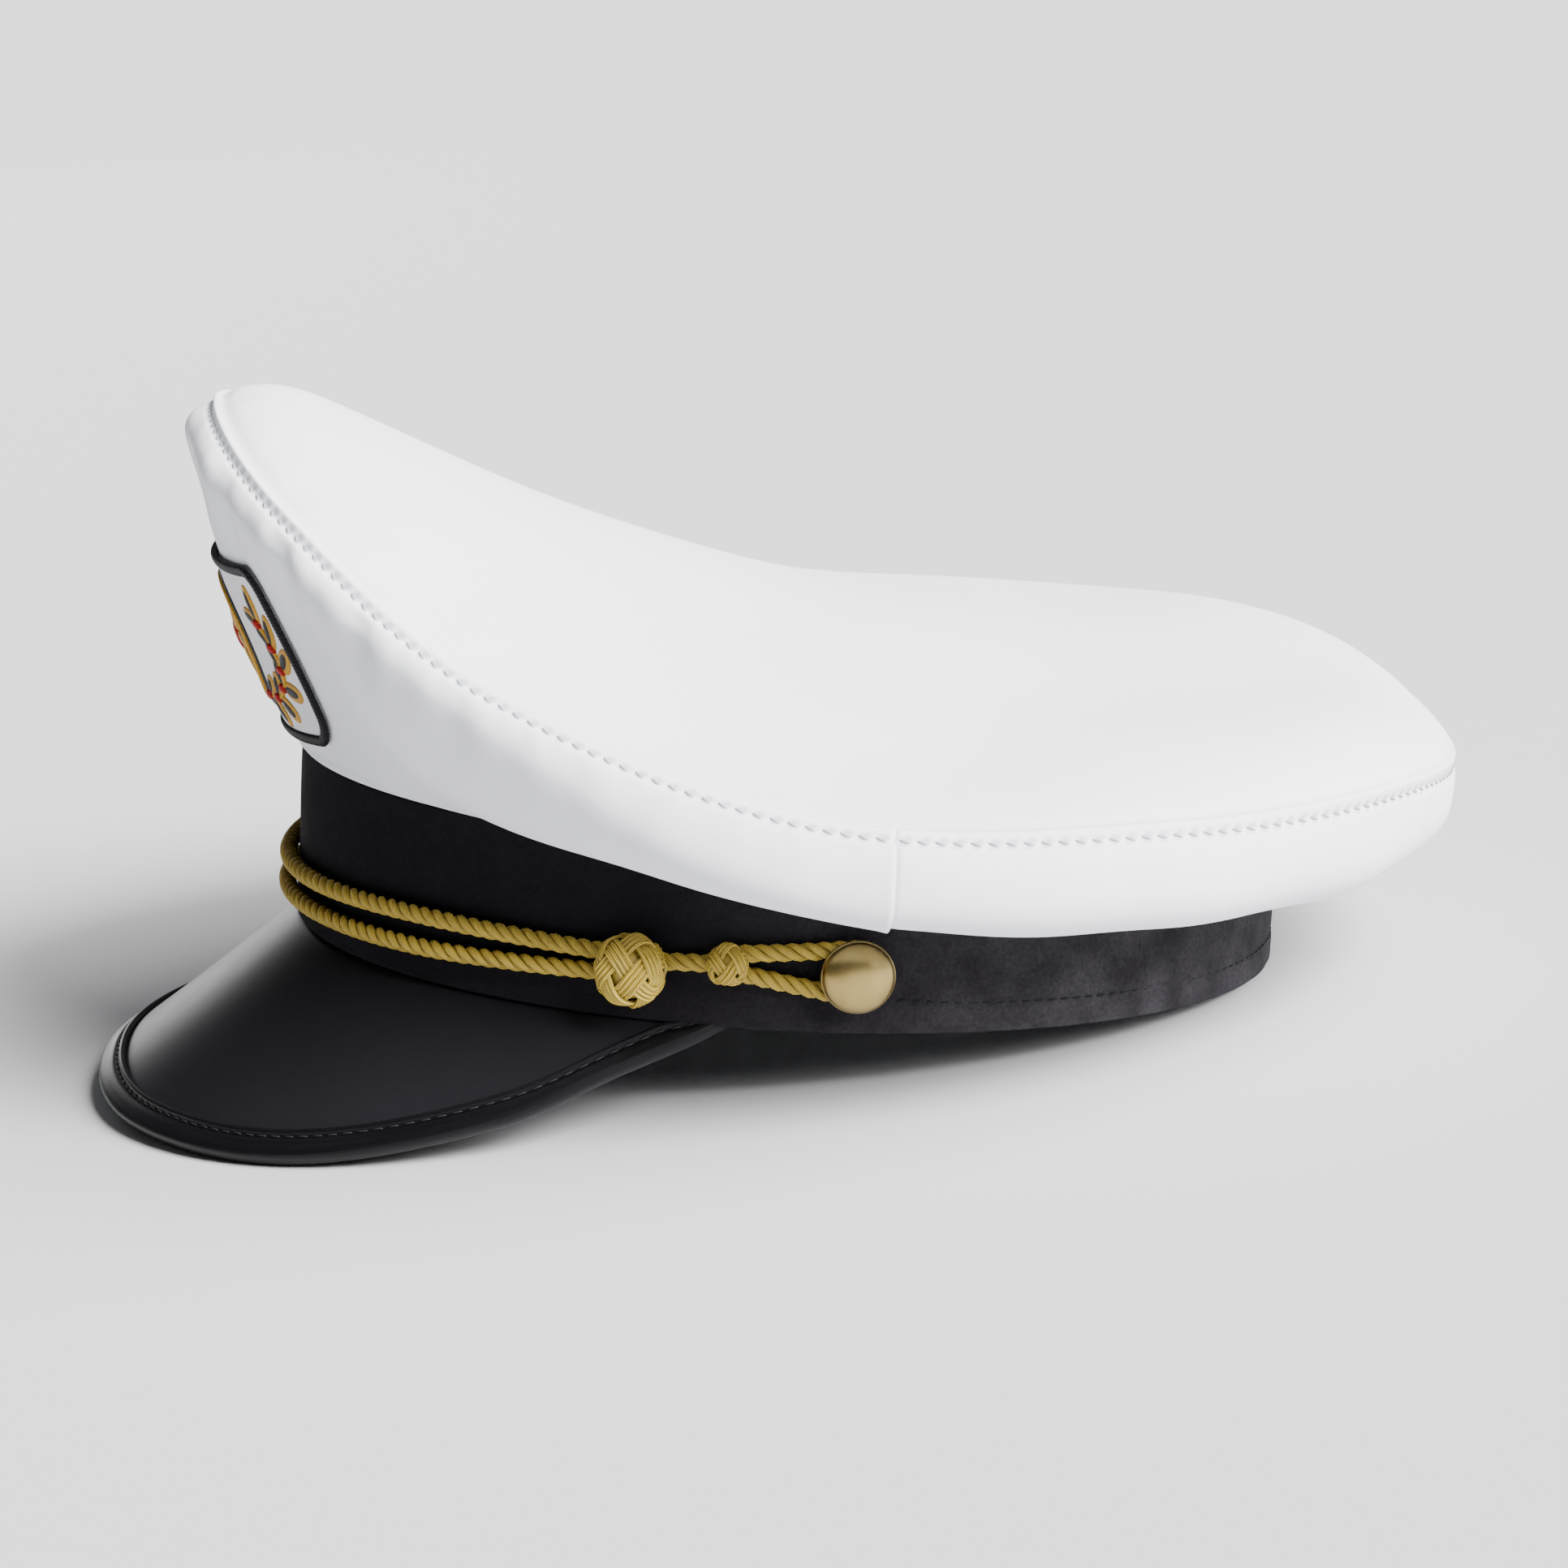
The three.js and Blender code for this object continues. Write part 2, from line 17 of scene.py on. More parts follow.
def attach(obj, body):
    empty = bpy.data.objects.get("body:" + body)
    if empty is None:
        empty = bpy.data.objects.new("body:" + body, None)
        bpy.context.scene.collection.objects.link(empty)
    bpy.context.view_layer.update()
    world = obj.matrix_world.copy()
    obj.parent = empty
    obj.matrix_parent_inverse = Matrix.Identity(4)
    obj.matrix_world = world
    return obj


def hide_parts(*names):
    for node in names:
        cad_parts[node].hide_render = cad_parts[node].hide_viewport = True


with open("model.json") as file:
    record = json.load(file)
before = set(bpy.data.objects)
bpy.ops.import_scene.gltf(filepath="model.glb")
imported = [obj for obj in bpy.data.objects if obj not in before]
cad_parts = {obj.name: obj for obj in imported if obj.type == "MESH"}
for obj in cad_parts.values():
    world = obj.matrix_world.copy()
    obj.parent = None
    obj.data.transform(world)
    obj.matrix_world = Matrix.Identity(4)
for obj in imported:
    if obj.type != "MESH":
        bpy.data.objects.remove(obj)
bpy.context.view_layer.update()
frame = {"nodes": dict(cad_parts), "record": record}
print("CAD nodes:", len(frame["nodes"]))

# %% [markdown]
# ## Where the cap lies
#
# The cap is drawn upright, with its origin in the middle of the band's lower edge. It rests
# on the edge of its peak and the back of its band, so it leans back a little. The record
# states a point of the band's lower rim and the direction that this rim faces, and from the
# two the lean and the shift follow.

# %% From the cap's frame to the floor
BAND_LENGTH, BAND_WIDTH, BAND_HEIGHT, BAND_WALL = 102.0, 84.0, 36.0, 2.0
RIM_POINT = np.array([0, BAND_LENGTH - 1.2, 0])
GAP = 0.3

rim = frame["record"]["mounts"][0]
lean_sin, lean_cos = -rim["axis"][1], -rim["axis"][2]
LEAN = np.array([[1, 0, 0], [0, lean_cos, lean_sin], [0, -lean_sin, lean_cos]])
SHIFT = np.array(rim["pos_m"]) * 1000 - LEAN @ RIM_POINT


def resting(points):
    """Points of the upright cap in millimetres, leaned back and moved onto the floor, in metres."""
    return (np.asarray(points, float) @ LEAN.T + SHIFT) / 1000


print("lean, degrees:", round(float(np.degrees(np.arcsin(lean_sin))), 2))

# %% [markdown]
# ## The camera
#
# It looks at the wearer's left side from a little above, with a long lens and a slight roll.
# Its place was fitted to the oval of the band's lower edge and to the crown's seam.

# %% Camera
VIEW = {"azimuth": 87.0, "elevation": 13.215, "roll": 3.199, "distance": 1200.0}
TARGET = np.array([0, -1.594, 29.977])
LENS, SENSOR = 131.93, 36.0

a, e, r = np.radians([VIEW["azimuth"], VIEW["elevation"], VIEW["roll"]])
back = np.array([np.sin(a) * np.cos(e), -np.cos(a) * np.cos(e), np.sin(e)])
level = np.array([np.cos(a), np.sin(a), 0])
upright = np.cross(back, level)
right = level * np.cos(r) + upright * np.sin(r)
up = upright * np.cos(r) - level * np.sin(r)

data = bpy.data.cameras.new("camera")
data.lens, data.sensor_width = LENS, SENSOR
data.clip_start, data.clip_end = 0.05, 100
camera = bpy.data.objects.new("camera", data)
bpy.context.scene.collection.objects.link(camera)
place = np.eye(4)
place[:3, :3] = (LEAN @ np.array([right, up, back]).T)
place[:3, 3] = resting(TARGET + back * VIEW["distance"])
camera.matrix_world = Matrix(place.tolist())
bpy.context.scene.camera = camera
print("camera at", place[:3, 3].round(3))

# %% [markdown]
# ## Tables and curves round the head
#
# The crown's side changes all the way round. A table gives its measures at a few angles, 0 at
# the front and 180 behind, and a smooth cubic runs through them. Both sides are alike, so the
# curve is level at the front and at the back.

# %% Tables and the curve through them
CROWN = {
    "at": (0, 30, 60, 90, 120, 150, 180),
    "over": (20, 21, 26, 32.8, 38, 37.3, 34),
    "seam": (105.5, 92.6, 67, 50.4, 50.6, 51, 47),
    "roll": (6, 4.3, 4.8, 5, 4, 1.2, 1),
    "drop": (6, 5.5, 6, 11, 11, 9.5, 6),
    "leave": (56, 72, -9, -25, -44, -46, -41),
    "leave_by": (24, 25, 22, 17, 12, 12, 12),
    "under_by": (4, 5, 6, 14, 18, 19, 14),
    "puff": (15, 7, -4, -3.5, 7, 13, 11),
}
PEAK = {
    "at": (0, 20, 40, 60, 72, 83),
    "length": (54.5, 54.4, 46.9, 27.5, 10.8, 2),
    "slope": (41.8, 41.8, 42.8, 44.5, 45.5, 47),
}
CORDS = {
    "at": (0, 20, 42, 56, 66, 72),
    "upper": (12, 12.5, 13.9, 14.1, 13.7, 13.3),
    "lower": (6, 6.4, 7.4, 8.6, 9.4, 9.5),
}


def from_front(degrees):
    """The angle from the front, 0 to 180, which is the same on both sides."""
    return np.abs((np.asarray(degrees, float) + 180) % 360 - 180)


def cubic(first, last, leaving, arriving, t):
    """A curve from first to last as t goes from 0 to 1, by its two ends and its slopes there."""
    h = t * t * (3 - 2 * t)
    lift = leaving * t * (1 - t) ** 2 - arriving * t * t * (1 - t)
    return first * (1 - h) + last * h + lift


def column(table, name, degrees):
    """The table's value at each angle: between two rows, a cubic that leaves each row with the
    slope of the line through its two neighbours, and is level at the front and the back."""
    at, value = np.array(table["at"], float), np.array(table[name], float)
    turn = np.minimum(from_front(degrees), at[-1])
    i = np.clip(np.searchsorted(at, turn) - 1, 0, len(at) - 2)
    slope = np.gradient(value, at)
    slope[1:-1] = (value[2:] - value[:-2]) / (at[2:] - at[:-2])
    slope[0] = 0
    if at[-1] == 180:
        slope[-1] = 0
    span = at[i + 1] - at[i]
    t = (turn - at[i]) / span
    return cubic(value[i], value[i + 1], span * slope[i], span * slope[i + 1], t)


def outward(degrees):
    """The level direction that the band's oval wall faces at each angle."""
    a = np.radians(degrees)
    return unit(np.stack([BAND_LENGTH * np.sin(a), -BAND_WIDTH * np.cos(a), 0 * a], -1))


def around(degrees, out, height):
    """A point on the band's oval at an angle, moved outward by out, at a height."""
    degrees, out, height = np.broadcast_arrays(*map(np.asarray, (degrees, out, height)))
    a = np.radians(degrees)
    oval = np.stack([BAND_WIDTH * np.sin(a), -BAND_LENGTH * np.cos(a), height * 1.0], -1)
    return oval + outward(degrees) * out[..., None]


def unit(v):
    """Vectors brought to length 1."""
    return v / np.maximum(np.linalg.norm(v, axis=-1, keepdims=True), 1e-12)


def ramp(x, low, high):
    """0 below low, 1 above high, and a smooth step between."""
    t = np.clip((x - low) / (high - low), 0, 1)
    return t * t * (3 - 2 * t)


def bump(x, middle, width):
    """A bell: 1 at its middle, dying away over the width on either side."""
    return np.exp(-(((x - middle) / width) ** 2))


def waves(x, y, size, seed, count=14):
    """Soft random unevenness: a sum of plane waves about size long, each with its own
    direction and phase, drawn from a fixed seed. It runs roughly from -1 to 1."""
    draw = np.random.default_rng(seed)
    total = 0
    for turn, phase, stretch in zip(*draw.uniform(0, 1, (3, count))):
        k = 2 * np.pi / (size * (0.7 + 0.9 * stretch))
        along = x * np.cos(np.pi * 2 * turn) + y * np.sin(np.pi * 2 * turn)
        total = total + np.cos(k * along + 2 * np.pi * phase)
    return total / np.sqrt(count) * 0.7


def run_length(points, axis=0):
    """The length along a line of points up to each of them."""
    step = np.linalg.norm(np.diff(points, axis=axis), axis=-1)
    start = np.zeros_like(np.take(step, [0], axis=axis))
    return np.concatenate([start, np.cumsum(step, axis=axis)], axis=axis)


def crossing(values, field, level):
    """Along each row of a grid, the value where the field passes a level, by straight lines."""
    level = np.broadcast_to(np.asarray(level, float), field.shape[:1])[:, None]
    passed = (field[:, :-1] - level) * (field[:, 1:] - level) <= 0
    j = passed.argmax(1)
    row = np.arange(len(j))
    t = (level[:, 0] - field[row, j]) / (field[row, j + 1] - field[row, j])
    return values[row, j] + (values[row, j + 1] - values[row, j]) * t[:, None]


print("seam height at the front:", column(CROWN, "seam", 0.0))

# %% [markdown]
# ## From a grid of points to a mesh
#
# Each new piece is a surface over a grid with two parameters. One function makes the mesh:
# a face for each cell, then points that lie on each other are merged, which closes the seam
# of a ring and the tip of a dome. Faces are turned so that they look away from a point inside.

# %% The grid mesh
HEAD_MIDDLE = np.array([0, 0, 45.0])
SAME_PLACE = 2e-6


def cell_faces(rows, columns):
    """Corner numbers of every cell of a grid, whose points are counted row by row."""
    i = np.arange(rows - 1)[:, None] * columns + np.arange(columns - 1)
    return np.stack([i, i + columns, i + columns + 1, i + 1], -1).reshape(-1, 4)


def make_piece(name, grids, inside=None, uvs=None, fields=None, merge=True):
    """One object from one or more grids of points, riding on the cap. A face's direction is
    the sum over its grid of area times its distance from the inside point, made positive."""
    vertices, faces, maps = [], [], []
    for k, grid in enumerate(grids):
        quads = cell_faces(*grid.shape[:2])
        flat = grid.reshape(-1, 3)
        p = flat[quads]
        area = np.cross(p[:, 2] - p[:, 0], p[:, 3] - p[:, 1])
        middle = flat.mean(0) if inside is None else inside
        if (area * (p.mean(1) - middle)).sum() < 0:
            quads = quads[:, ::-1]
        uv = np.zeros((len(flat), 2)) if uvs is None else uvs[k].reshape(-1, 2)
        maps.append(uv[quads].reshape(-1, 2))
        faces.append(quads + sum(len(v) for v in vertices))
        vertices.append(flat)
    mesh = bpy.data.meshes.new(name)
    points, quads = resting(np.concatenate(vertices)), np.concatenate(faces)
    mesh.vertices.add(len(points))
    mesh.vertices.foreach_set("co", points.ravel())
    mesh.loops.add(quads.size)
    mesh.loops.foreach_set("vertex_index", quads.ravel())
    mesh.polygons.add(len(quads))
    mesh.polygons.foreach_set("loop_start", np.arange(len(quads)) * 4)
    mesh.polygons.foreach_set("use_smooth", np.ones(len(quads), bool))
    mesh.update(calc_edges=True)
    mesh.uv_layers.new(name="way").data.foreach_set("uv", np.concatenate(maps).ravel())
    for key, value in (fields or {}).items():
        field = mesh.attributes.new(key, "FLOAT", "POINT")
        field.data.foreach_set("value", np.asarray(value, np.float32).ravel())
    if merge:
        edit = bmesh.new()
        edit.from_mesh(mesh)
        bmesh.ops.remove_doubles(edit, verts=edit.verts, dist=SAME_PLACE)
        edit.to_mesh(mesh)
        edit.free()
    piece = bpy.data.objects.new(name, mesh)
    bpy.context.scene.collection.objects.link(piece)
    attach(piece, "root")
    return piece


def thicken(piece, thickness):
    """Gives a sheet its thickness on the inner side, as a live Solidify."""
    wall = piece.modifiers.new("thickness", "SOLIDIFY")
    wall.thickness, wall.offset, wall.use_rim = thickness / 1000, -1, True
    wall.use_even_offset = False
    return piece


def dress(piece, material, slot, *nodes):
    """Puts a finish on a piece and hides the CAD nodes that it stands for; its slot is not used."""
    piece.data.materials.append(material)
    if nodes:
        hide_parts(*nodes)
    print(f"{piece.name}: {len(piece.data.polygons)} faces")
    return piece


# %% [markdown]
# ## Shader sums written as on paper
#
# A finish is a sum of patterns. A small class stands for one value that varies over the
# surface, and its operators add the Math nodes, so a pattern reads like a formula. Every
# other node comes from one method that takes the node's type, its settings and its inputs.


# %% The shader helper
class Signal:
    """A value that varies over a surface: one output of one node."""

    def __init__(self, look, socket):
        self.look, self.socket = look, socket

    def sum(self, operation, *others):
        inputs = dict(enumerate((self, *others)))
        return self.look.node("Math", {"operation": operation}, inputs)

    def __add__(self, other):
        return self.sum("ADD", other)

    def __sub__(self, other):
        return self.sum("SUBTRACT", other)

    def __mul__(self, other):
        return self.sum("MULTIPLY", other)

    def __rsub__(self, other):
        return (self * -1) + other

    __radd__ = __add__
    __rmul__ = __mul__

    def sin(self):
        return self.sum("SINE")

    def clamp(self, low=0.0, high=1.0):
        return self.look.node("Clamp", {}, {"Value": self, "Min": low, "Max": high})


class Look:
    """A material with one Principled shader. The keyword values are set on its own sockets."""

    def __init__(self, name, color, **constants):
        self.material = bpy.data.materials.new(name)
        self.material.use_nodes = True
        self.tree = self.material.node_tree
        self.shader = self.tree.nodes["Principled BSDF"]
        self.shader.inputs["Base Color"].default_value = (*color, 1)
        for key, value in constants.items():
            self.shader.inputs[key.replace("_", " ")].default_value = value

    def feed(self, socket, value):
        if isinstance(value, Signal):
            self.tree.links.new(value.socket, socket)
        elif isinstance(value, tuple) and len(value) == 3 and socket.type == "RGBA":
            socket.default_value = (*value, 1)
        else:
            socket.default_value = value

    def node(self, kind, settings, inputs, output=0):
        made = self.tree.nodes.new("ShaderNode" + kind)
        for key, value in settings.items():
            setattr(made, key, value)
        for key, value in inputs.items():
            self.feed(made.inputs[key], value)
        return Signal(self, made.outputs[output])

    def coordinates(self, output="Object"):
        return self.node("TexCoord", {}, {}, output)

    def parts(self, vector):
        split = self.tree.nodes.new("ShaderNodeSeparateXYZ")
        self.feed(split.inputs[0], vector)
        return [Signal(self, split.outputs[k]) for k in range(3)]

    def on_map(self):
        """How far along and across a point lies on the piece's own map."""
        return self.parts(self.coordinates("UV"))[:2]

    def field(self, name):
        return self.node("Attribute", {"attribute_name": name}, {}, "Fac")

    def noise(self, scale, detail=2.0, vector=None):
        where = self.coordinates() if vector is None else vector
        inputs = {"Vector": where, "Scale": scale, "Detail": detail}
        return self.node("TexNoise", {}, inputs, "Fac")

    def mix(self, share, first, second):
        inputs = {"Factor": share, 6: first, 7: second}
        return self.node("Mix", {"data_type": "RGBA"}, inputs, 2)

    def paint(self, **values):
        for key, value in values.items():
            self.feed(self.shader.inputs[key.replace("_", " ")], value)

    def relief(self, height, depth):
        """Bumps of the given depth in millimetres where height runs from 0 to 1."""
        inputs = {"Height": height, "Distance": depth / 1000, "Strength": 1.0}
        self.feed(self.shader.inputs["Normal"], self.node("Bump", {}, inputs))
        return self


# %% [markdown]
# ## The white cloth
#
# A close-woven white cloth over a stiff backing. From a metre away its weave hardly shows,
# so it is a very low relief of crossing threads, with a soft sheen and a faint unevenness in
# tone. The weave follows the piece's own map, which is in millimetres along the cloth. Where
# it is sewn, each stitch pulls in a slanting dimple, which sinks the cloth and is also
# painted grey there as painted shade.

# %% White cloth finish
THREADS_PER_MM = 2.6


def weave(look, per_mm=THREADS_PER_MM):
    """Crossing threads: the product of two sine ridges, one along each thread direction."""
    u, v = look.on_map()
    step = 2 * np.pi * per_mm
    return ((u * step).sin() * (v * step).sin()) * 0.5 + 0.5


def white_cloth(name, sewn=False):
    """The cloth's tone and relief. A dimple is a bell across the row of stitches times a
    sine along it, whose phase moves with the distance across so that it slants. Each dimple
    sinks the cloth and is also painted grey, as painted shade."""
    look = Look(name, (0.8, 0.81, 0.845), Specular_IOR_Level=0.2)
    color = look.mix(look.noise(22.0, 3.0), (0.775, 0.785, 0.82), (0.825, 0.835, 0.865))
    height = weave(look) * 0.05 + look.noise(900.0, 2.0) * 0.035
    if sewn:
        way, off = look.field("stitch_way"), look.field("stitch_off")
        near = (1 - off * off * 0.55).clamp()
        dimple_and_painted_shade = near * (((way + off * 0.16) * (2 * np.pi) - np.pi / 2).sin() * 0.5 + 0.5)
        # painted shade: the cloth is painted grey in each stitch's dimple, for the shade that falls
        # there
        color = look.mix(dimple_and_painted_shade * 0.6, color, (0.4, 0.41, 0.45))
        height = height - dimple_and_painted_shade
    look.paint(Base_Color=color, Roughness=look.noise(60.0) * 0.12 + 0.78)
    return look.relief(height, 0.28).material


WHITE = white_cloth("white_cloth")
SEWN_WHITE = white_cloth("sewn_white_cloth", sewn=True)

# %% [markdown]
# ## The crown
#
# Three pieces of cloth: a front panel, a back panel and an oval top, sewn edge to edge. The
# front stands high because a stiffener holds it up, and the top is stretched like a drum
# skin over the ring of the seam, so its height is a sum of cosines round the head, each dying
# away towards the middle. A seam of doubled cloth raises a ridge, and the topstitching
# below it draws in a groove. Small puckers run from the seam where the cloth is eased in.

# %% The oval top's formula
TERMS, PUFF_POWER = 6, 12
sample = np.arange(180) + 0.5
ORDER = np.arange(TERMS)


def cosine_terms(name):
    """The first terms of a column round the head: its mean times each order's cosine."""
    value = column(CROWN, name, sample)[:, None] * np.cos(np.radians(sample[:, None] * ORDER))
    return value.mean(0) * np.where(ORDER, 2, 1)


SKIN = cosine_terms("seam") + cosine_terms("puff")
TOP_MIDDLE = (around(0, CROWN["over"][0], 0) + around(180, CROWN["over"][-1], 0)) / 2


def top_point(degrees, share):
    """The top at a share of the way from its middle to the seam: in plan a straight line, and
    in height the drum skin's cosines less the turn-down at its edge."""
    puff = column(CROWN, "puff", degrees)
    ring = column(CROWN, "seam", degrees) + puff
    edge = around(degrees, column(CROWN, "over", degrees), 0.0)
    p = TOP_MIDDLE + (edge - TOP_MIDDLE) * share[..., None]
    fade = share[..., None] ** ORDER - share[..., None] ** TERMS
    skin = (SKIN * fade * np.cos(np.radians(degrees[..., None] * ORDER))).sum(-1)
    p[..., 2] = skin + ring * share**TERMS - puff * share**PUFF_POWER
    return p


# %% The side's formula
ROUND = 0.55


def bezier(corners, t):
    """A cubic curve by its four corner points, for every row of corners and every t."""
    a, b, c, d = (p[:, None, :] for p in corners)
    t = t[None, :, None]
    return (1 - t) ** 3 * a + 3 * (1 - t) ** 2 * t * b + 3 * (1 - t) * t * t * c + t**3 * d


def side_lines(degrees, under_steps, over_steps):
    """The side's outline at each angle as (out, height): from the band out to its widest by
    one cubic, and over the roll to the seam by another."""
    c = {name: column(CROWN, name, degrees) for name in CROWN if name != "at"}
    pair = lambda x, y: np.stack(np.broadcast_arrays(x, y), -1)
    edge, inner = (top_point(degrees, np.full_like(degrees, s)) for s in (1.0, 0.985))
    level = np.hypot(*(inner - edge)[:, :2].T)
    turn = np.arctan2((inner - edge)[:, 2], level)
    join = pair(0 * degrees + GAP, BAND_HEIGHT + GAP)
    seam = pair(c["over"], c["seam"])
    widest = seam + pair(c["roll"], -c["drop"])
    leave = np.radians(c["leave"])
    first = join + pair(np.cos(leave), np.sin(leave)) * c["leave_by"][:, None]
    last = seam - pair(-np.cos(turn), np.sin(turn)) * (ROUND * c["roll"])[:, None]
    under = bezier((join, first, widest - pair(0, c["under_by"]), widest), under_steps)
    over = bezier((widest, widest + pair(0, ROUND * c["drop"]), last, seam), over_steps)
    return np.concatenate([under, over[:, 1:]], 1)


def normals(grid):
    """The direction that a grid's surface faces at each point, away from the head."""
    n = unit(np.cross(np.gradient(grid, axis=0), np.gradient(grid, axis=1)))
    return n * np.sign((n * (grid - HEAD_MIDDLE)).sum(-1).sum())


# %% Relief of the sewn cloth
SIDE_SEAM = 96.0
STITCH_PITCH = 3.4


def ridge_height(degrees):
    """How far the seam's doubled cloth stands up: most at the front."""
    return 0.55 + 0.45 * bump(from_front(degrees), 0, 50)


def stitch_distance(degrees):
    """How far below the seam the topstitching runs: closer at the front."""
    return 1.7 + 0.7 * ramp(from_front(degrees), 20, 90)


def side_relief(degrees, down, rise, length):
    """Height of the cloth's relief on a side panel: the seam's ridge, the stitched groove,
    puckers below it at the front, a rolled hem at the band, and a broad unevenness, with none
    under the badge. down is the distance from the seam, rise the distance from the band, and
    length the run round it."""
    turn = from_front(degrees)
    ridge = ridge_height(degrees) * bump(down, 0, 0.85)
    groove = -0.42 * bump(down, stitch_distance(degrees), 0.8)
    beside_badge = 1 - (1 - ramp(turn, 27, 36)) * (1 - ramp(rise, 47, 56))
    eased = (0.25 + 0.95 * bump(turn, 20, 26)) * ramp(down, 1.5, 6) * (1 - ramp(down, 10, 30))
    puckers = 0.85 * eased * waves(length, down * 0.3, 15, 3)
    fine = 0.07 * ramp(down, 2, 3.5) * (1 - ramp(down, 5, 9)) * waves(length, down * 0.2, 5, 5)
    broad = 0.55 * beside_badge * ramp(down, 4, 20) * ramp(rise, 2, 15)
    broad = broad * waves(length, down, 48, 11)
    hem = 0.45 * bump(rise, 0.6, 0.7)
    return ridge + groove + puckers + fine + broad + hem


def top_relief(degrees, inward, length, plan):
    """Relief of the oval top: the seam's ridge, a valley inside it, puckers that die away
    inwards and a broad unevenness of the stretched cloth."""
    turn = from_front(degrees)
    ridge = ridge_height(degrees) * bump(inward, 0, 0.8)
    valley = -0.22 * bump(inward, 2.2, 1.3)
    eased = (0.3 + 0.7 * bump(turn, 0, 40)) * ramp(inward, 1, 6) * np.exp(-inward / 14)
    puckers = 0.38 * eased * waves(length, inward * 0.3, 15, 21)
    broad = 0.6 * ramp(inward, 8, 40) * waves(plan[..., 0], plan[..., 1], 62, 23)
    return ridge + valley + puckers + broad


# %% The crown's three pieces
CLOTH = 1.3


def spread(parts):
    """Steps from 0 to 1 through stretches of (end, count), so that edges get finer cells."""
    start, steps = 0.0, [np.zeros(1)]
    for end, count in parts:
        steps.append(np.linspace(start, end, count + 1)[1:])
        start = end
    return np.concatenate(steps)


UNDER_STEPS = spread([(0.06, 6), (1, 30)])
OVER_STEPS = spread([(0.45, 8), (1, 26)])


def side_panel(name, node, angles, edge_lift):
    """A panel of the side over (angle, way up): its outline at each angle, raised by its
    relief, with its two upright edges lifted or sunk where it is sewn to the other panel. The
    run round it is measured near the seam."""
    line = side_lines(angles, UNDER_STEPS, OVER_STEPS)
    degrees = np.broadcast_to(angles[:, None], line.shape[:2])
    flat = around(degrees, line[..., 0], line[..., 1])
    rise = run_length(flat, 1)
    down = rise[:, -1:] - rise
    length = run_length(flat[:, -6], 0)[:, None] + 0 * down
    sideways = np.minimum(length, length[-1:] - length)
    lift = side_relief(degrees, down, rise, length) + edge_lift * bump(sideways, 0, 1.3)
    grid = flat + normals(flat) * lift[..., None]
    uv = np.stack([length, down], -1)
    way = run_length(crossing(grid, down, stitch_distance(angles))) / STITCH_PITCH
    fields = {"stitch_way": way[:, None] + 0 * down, "stitch_off": down - stitch_distance(degrees)}
    piece = make_piece(name, [grid], HEAD_MIDDLE, [uv], fields, merge=False)
    SIDES.append((grid, down, angles))
    dress(thicken(piece, CLOTH), SEWN_WHITE, "crown_cloth", node)


SIDES = []
side_panel("front_panel", "crown_front", np.linspace(-SIDE_SEAM, SIDE_SEAM, 421), 0.2)
side_panel("back_panel", "crown_back", np.linspace(SIDE_SEAM, 360 - SIDE_SEAM, 321), -0.15)

TOP_SHARES = 1 - spread([(0.012, 7), (0.045, 9), (0.16, 14), (0.9, 34), (1, 6)])
top_angles = np.linspace(-180, 180, 541)
top_degrees, top_shares = np.meshgrid(top_angles, TOP_SHARES, indexing="ij")
top_flat = top_point(top_degrees, top_shares)
inward = run_length(top_flat, 1)
top_length = run_length(top_flat[:, 0], 0)[:, None] + 0 * inward
lift = top_relief(top_degrees, inward, top_length, top_flat)
off_middle = ramp(top_shares, 0, 0.02)
lift = lift * off_middle + lift[0, -1] * (1 - off_middle)
facing = normals(top_flat)
facing[:, -1] = facing[:, -2].mean(0)
facing[0] = facing[-1] = facing[0] + facing[-1]
facing = unit(facing)
lift[-1] = lift[0]
top_grid = top_flat + facing * lift[..., None]
top_panel = make_piece("top_panel", [top_grid], HEAD_MIDDLE, [top_flat[..., :2]])
dress(thicken(top_panel, CLOTH), WHITE, "crown_cloth", "crown_top")

# %% [markdown]
# ## Sewing thread
#
# Topstitching is a row of short threads at an even pitch. One stitch is a little capsule:
# a circle carried along a short line, swelling as the root of a sine and arched a little.
# Rows are laid along lines found on the finished cloth, so they follow its relief.


# %% Rows of stitches
def even_steps(line, facing, pitch):
    """Places at an even pitch along a line, with the line's direction and facing there."""
    s = run_length(line)
    at = np.arange(0.5 * pitch, s[-1] - 0.3 * pitch, pitch)
    pick = lambda v: np.stack([np.interp(at, s, v[:, k]) for k in range(3)], -1)
    along = pick(np.gradient(line, s, axis=0))
    return pick(line), unit(along), unit(pick(facing))


def stitch_row(place, along, facing, length, radius, rise=0.0, slant=0.0):
    """Grids of stitches: each a circle of the radius carried along length, closed at both
    tips, turned by slant degrees off the row and arched by half its radius."""
    side = np.cross(facing, along)
    c, s = np.cos(np.radians(slant)), np.sin(np.radians(slant))
    along, side = along * c + side * s, side * c - along * s
    t, a = np.meshgrid(np.linspace(0, np.pi, 8), np.linspace(0, 2 * np.pi, 7), indexing="ij")
    swell = radius * np.sin(t) ** 0.6
    place, along, side, facing = (v[:, None, None, :] for v in (place, along, side, facing))
    up = swell * np.sin(a) + rise + 0.5 * radius * np.sin(t)
    body = along * (-np.cos(t) * length / 2)[..., None] + side * (swell * np.cos(a))[..., None]
    return list(place + body + facing * up[..., None])


def thread(name, color, roughness):
    """Sewing thread: one colour, a fifth darker here and there."""
    look = Look(name, color, Specular_IOR_Level=0.2)
    tone = look.noise(400.0, 1.0)
    darker = tuple(0.8 * c for c in color)
    look.paint(Base_Color=look.mix(tone, darker, color), Roughness=tone * 0.2 + roughness)
    return look.relief(look.noise(2500.0, 1.0), 0.03).material
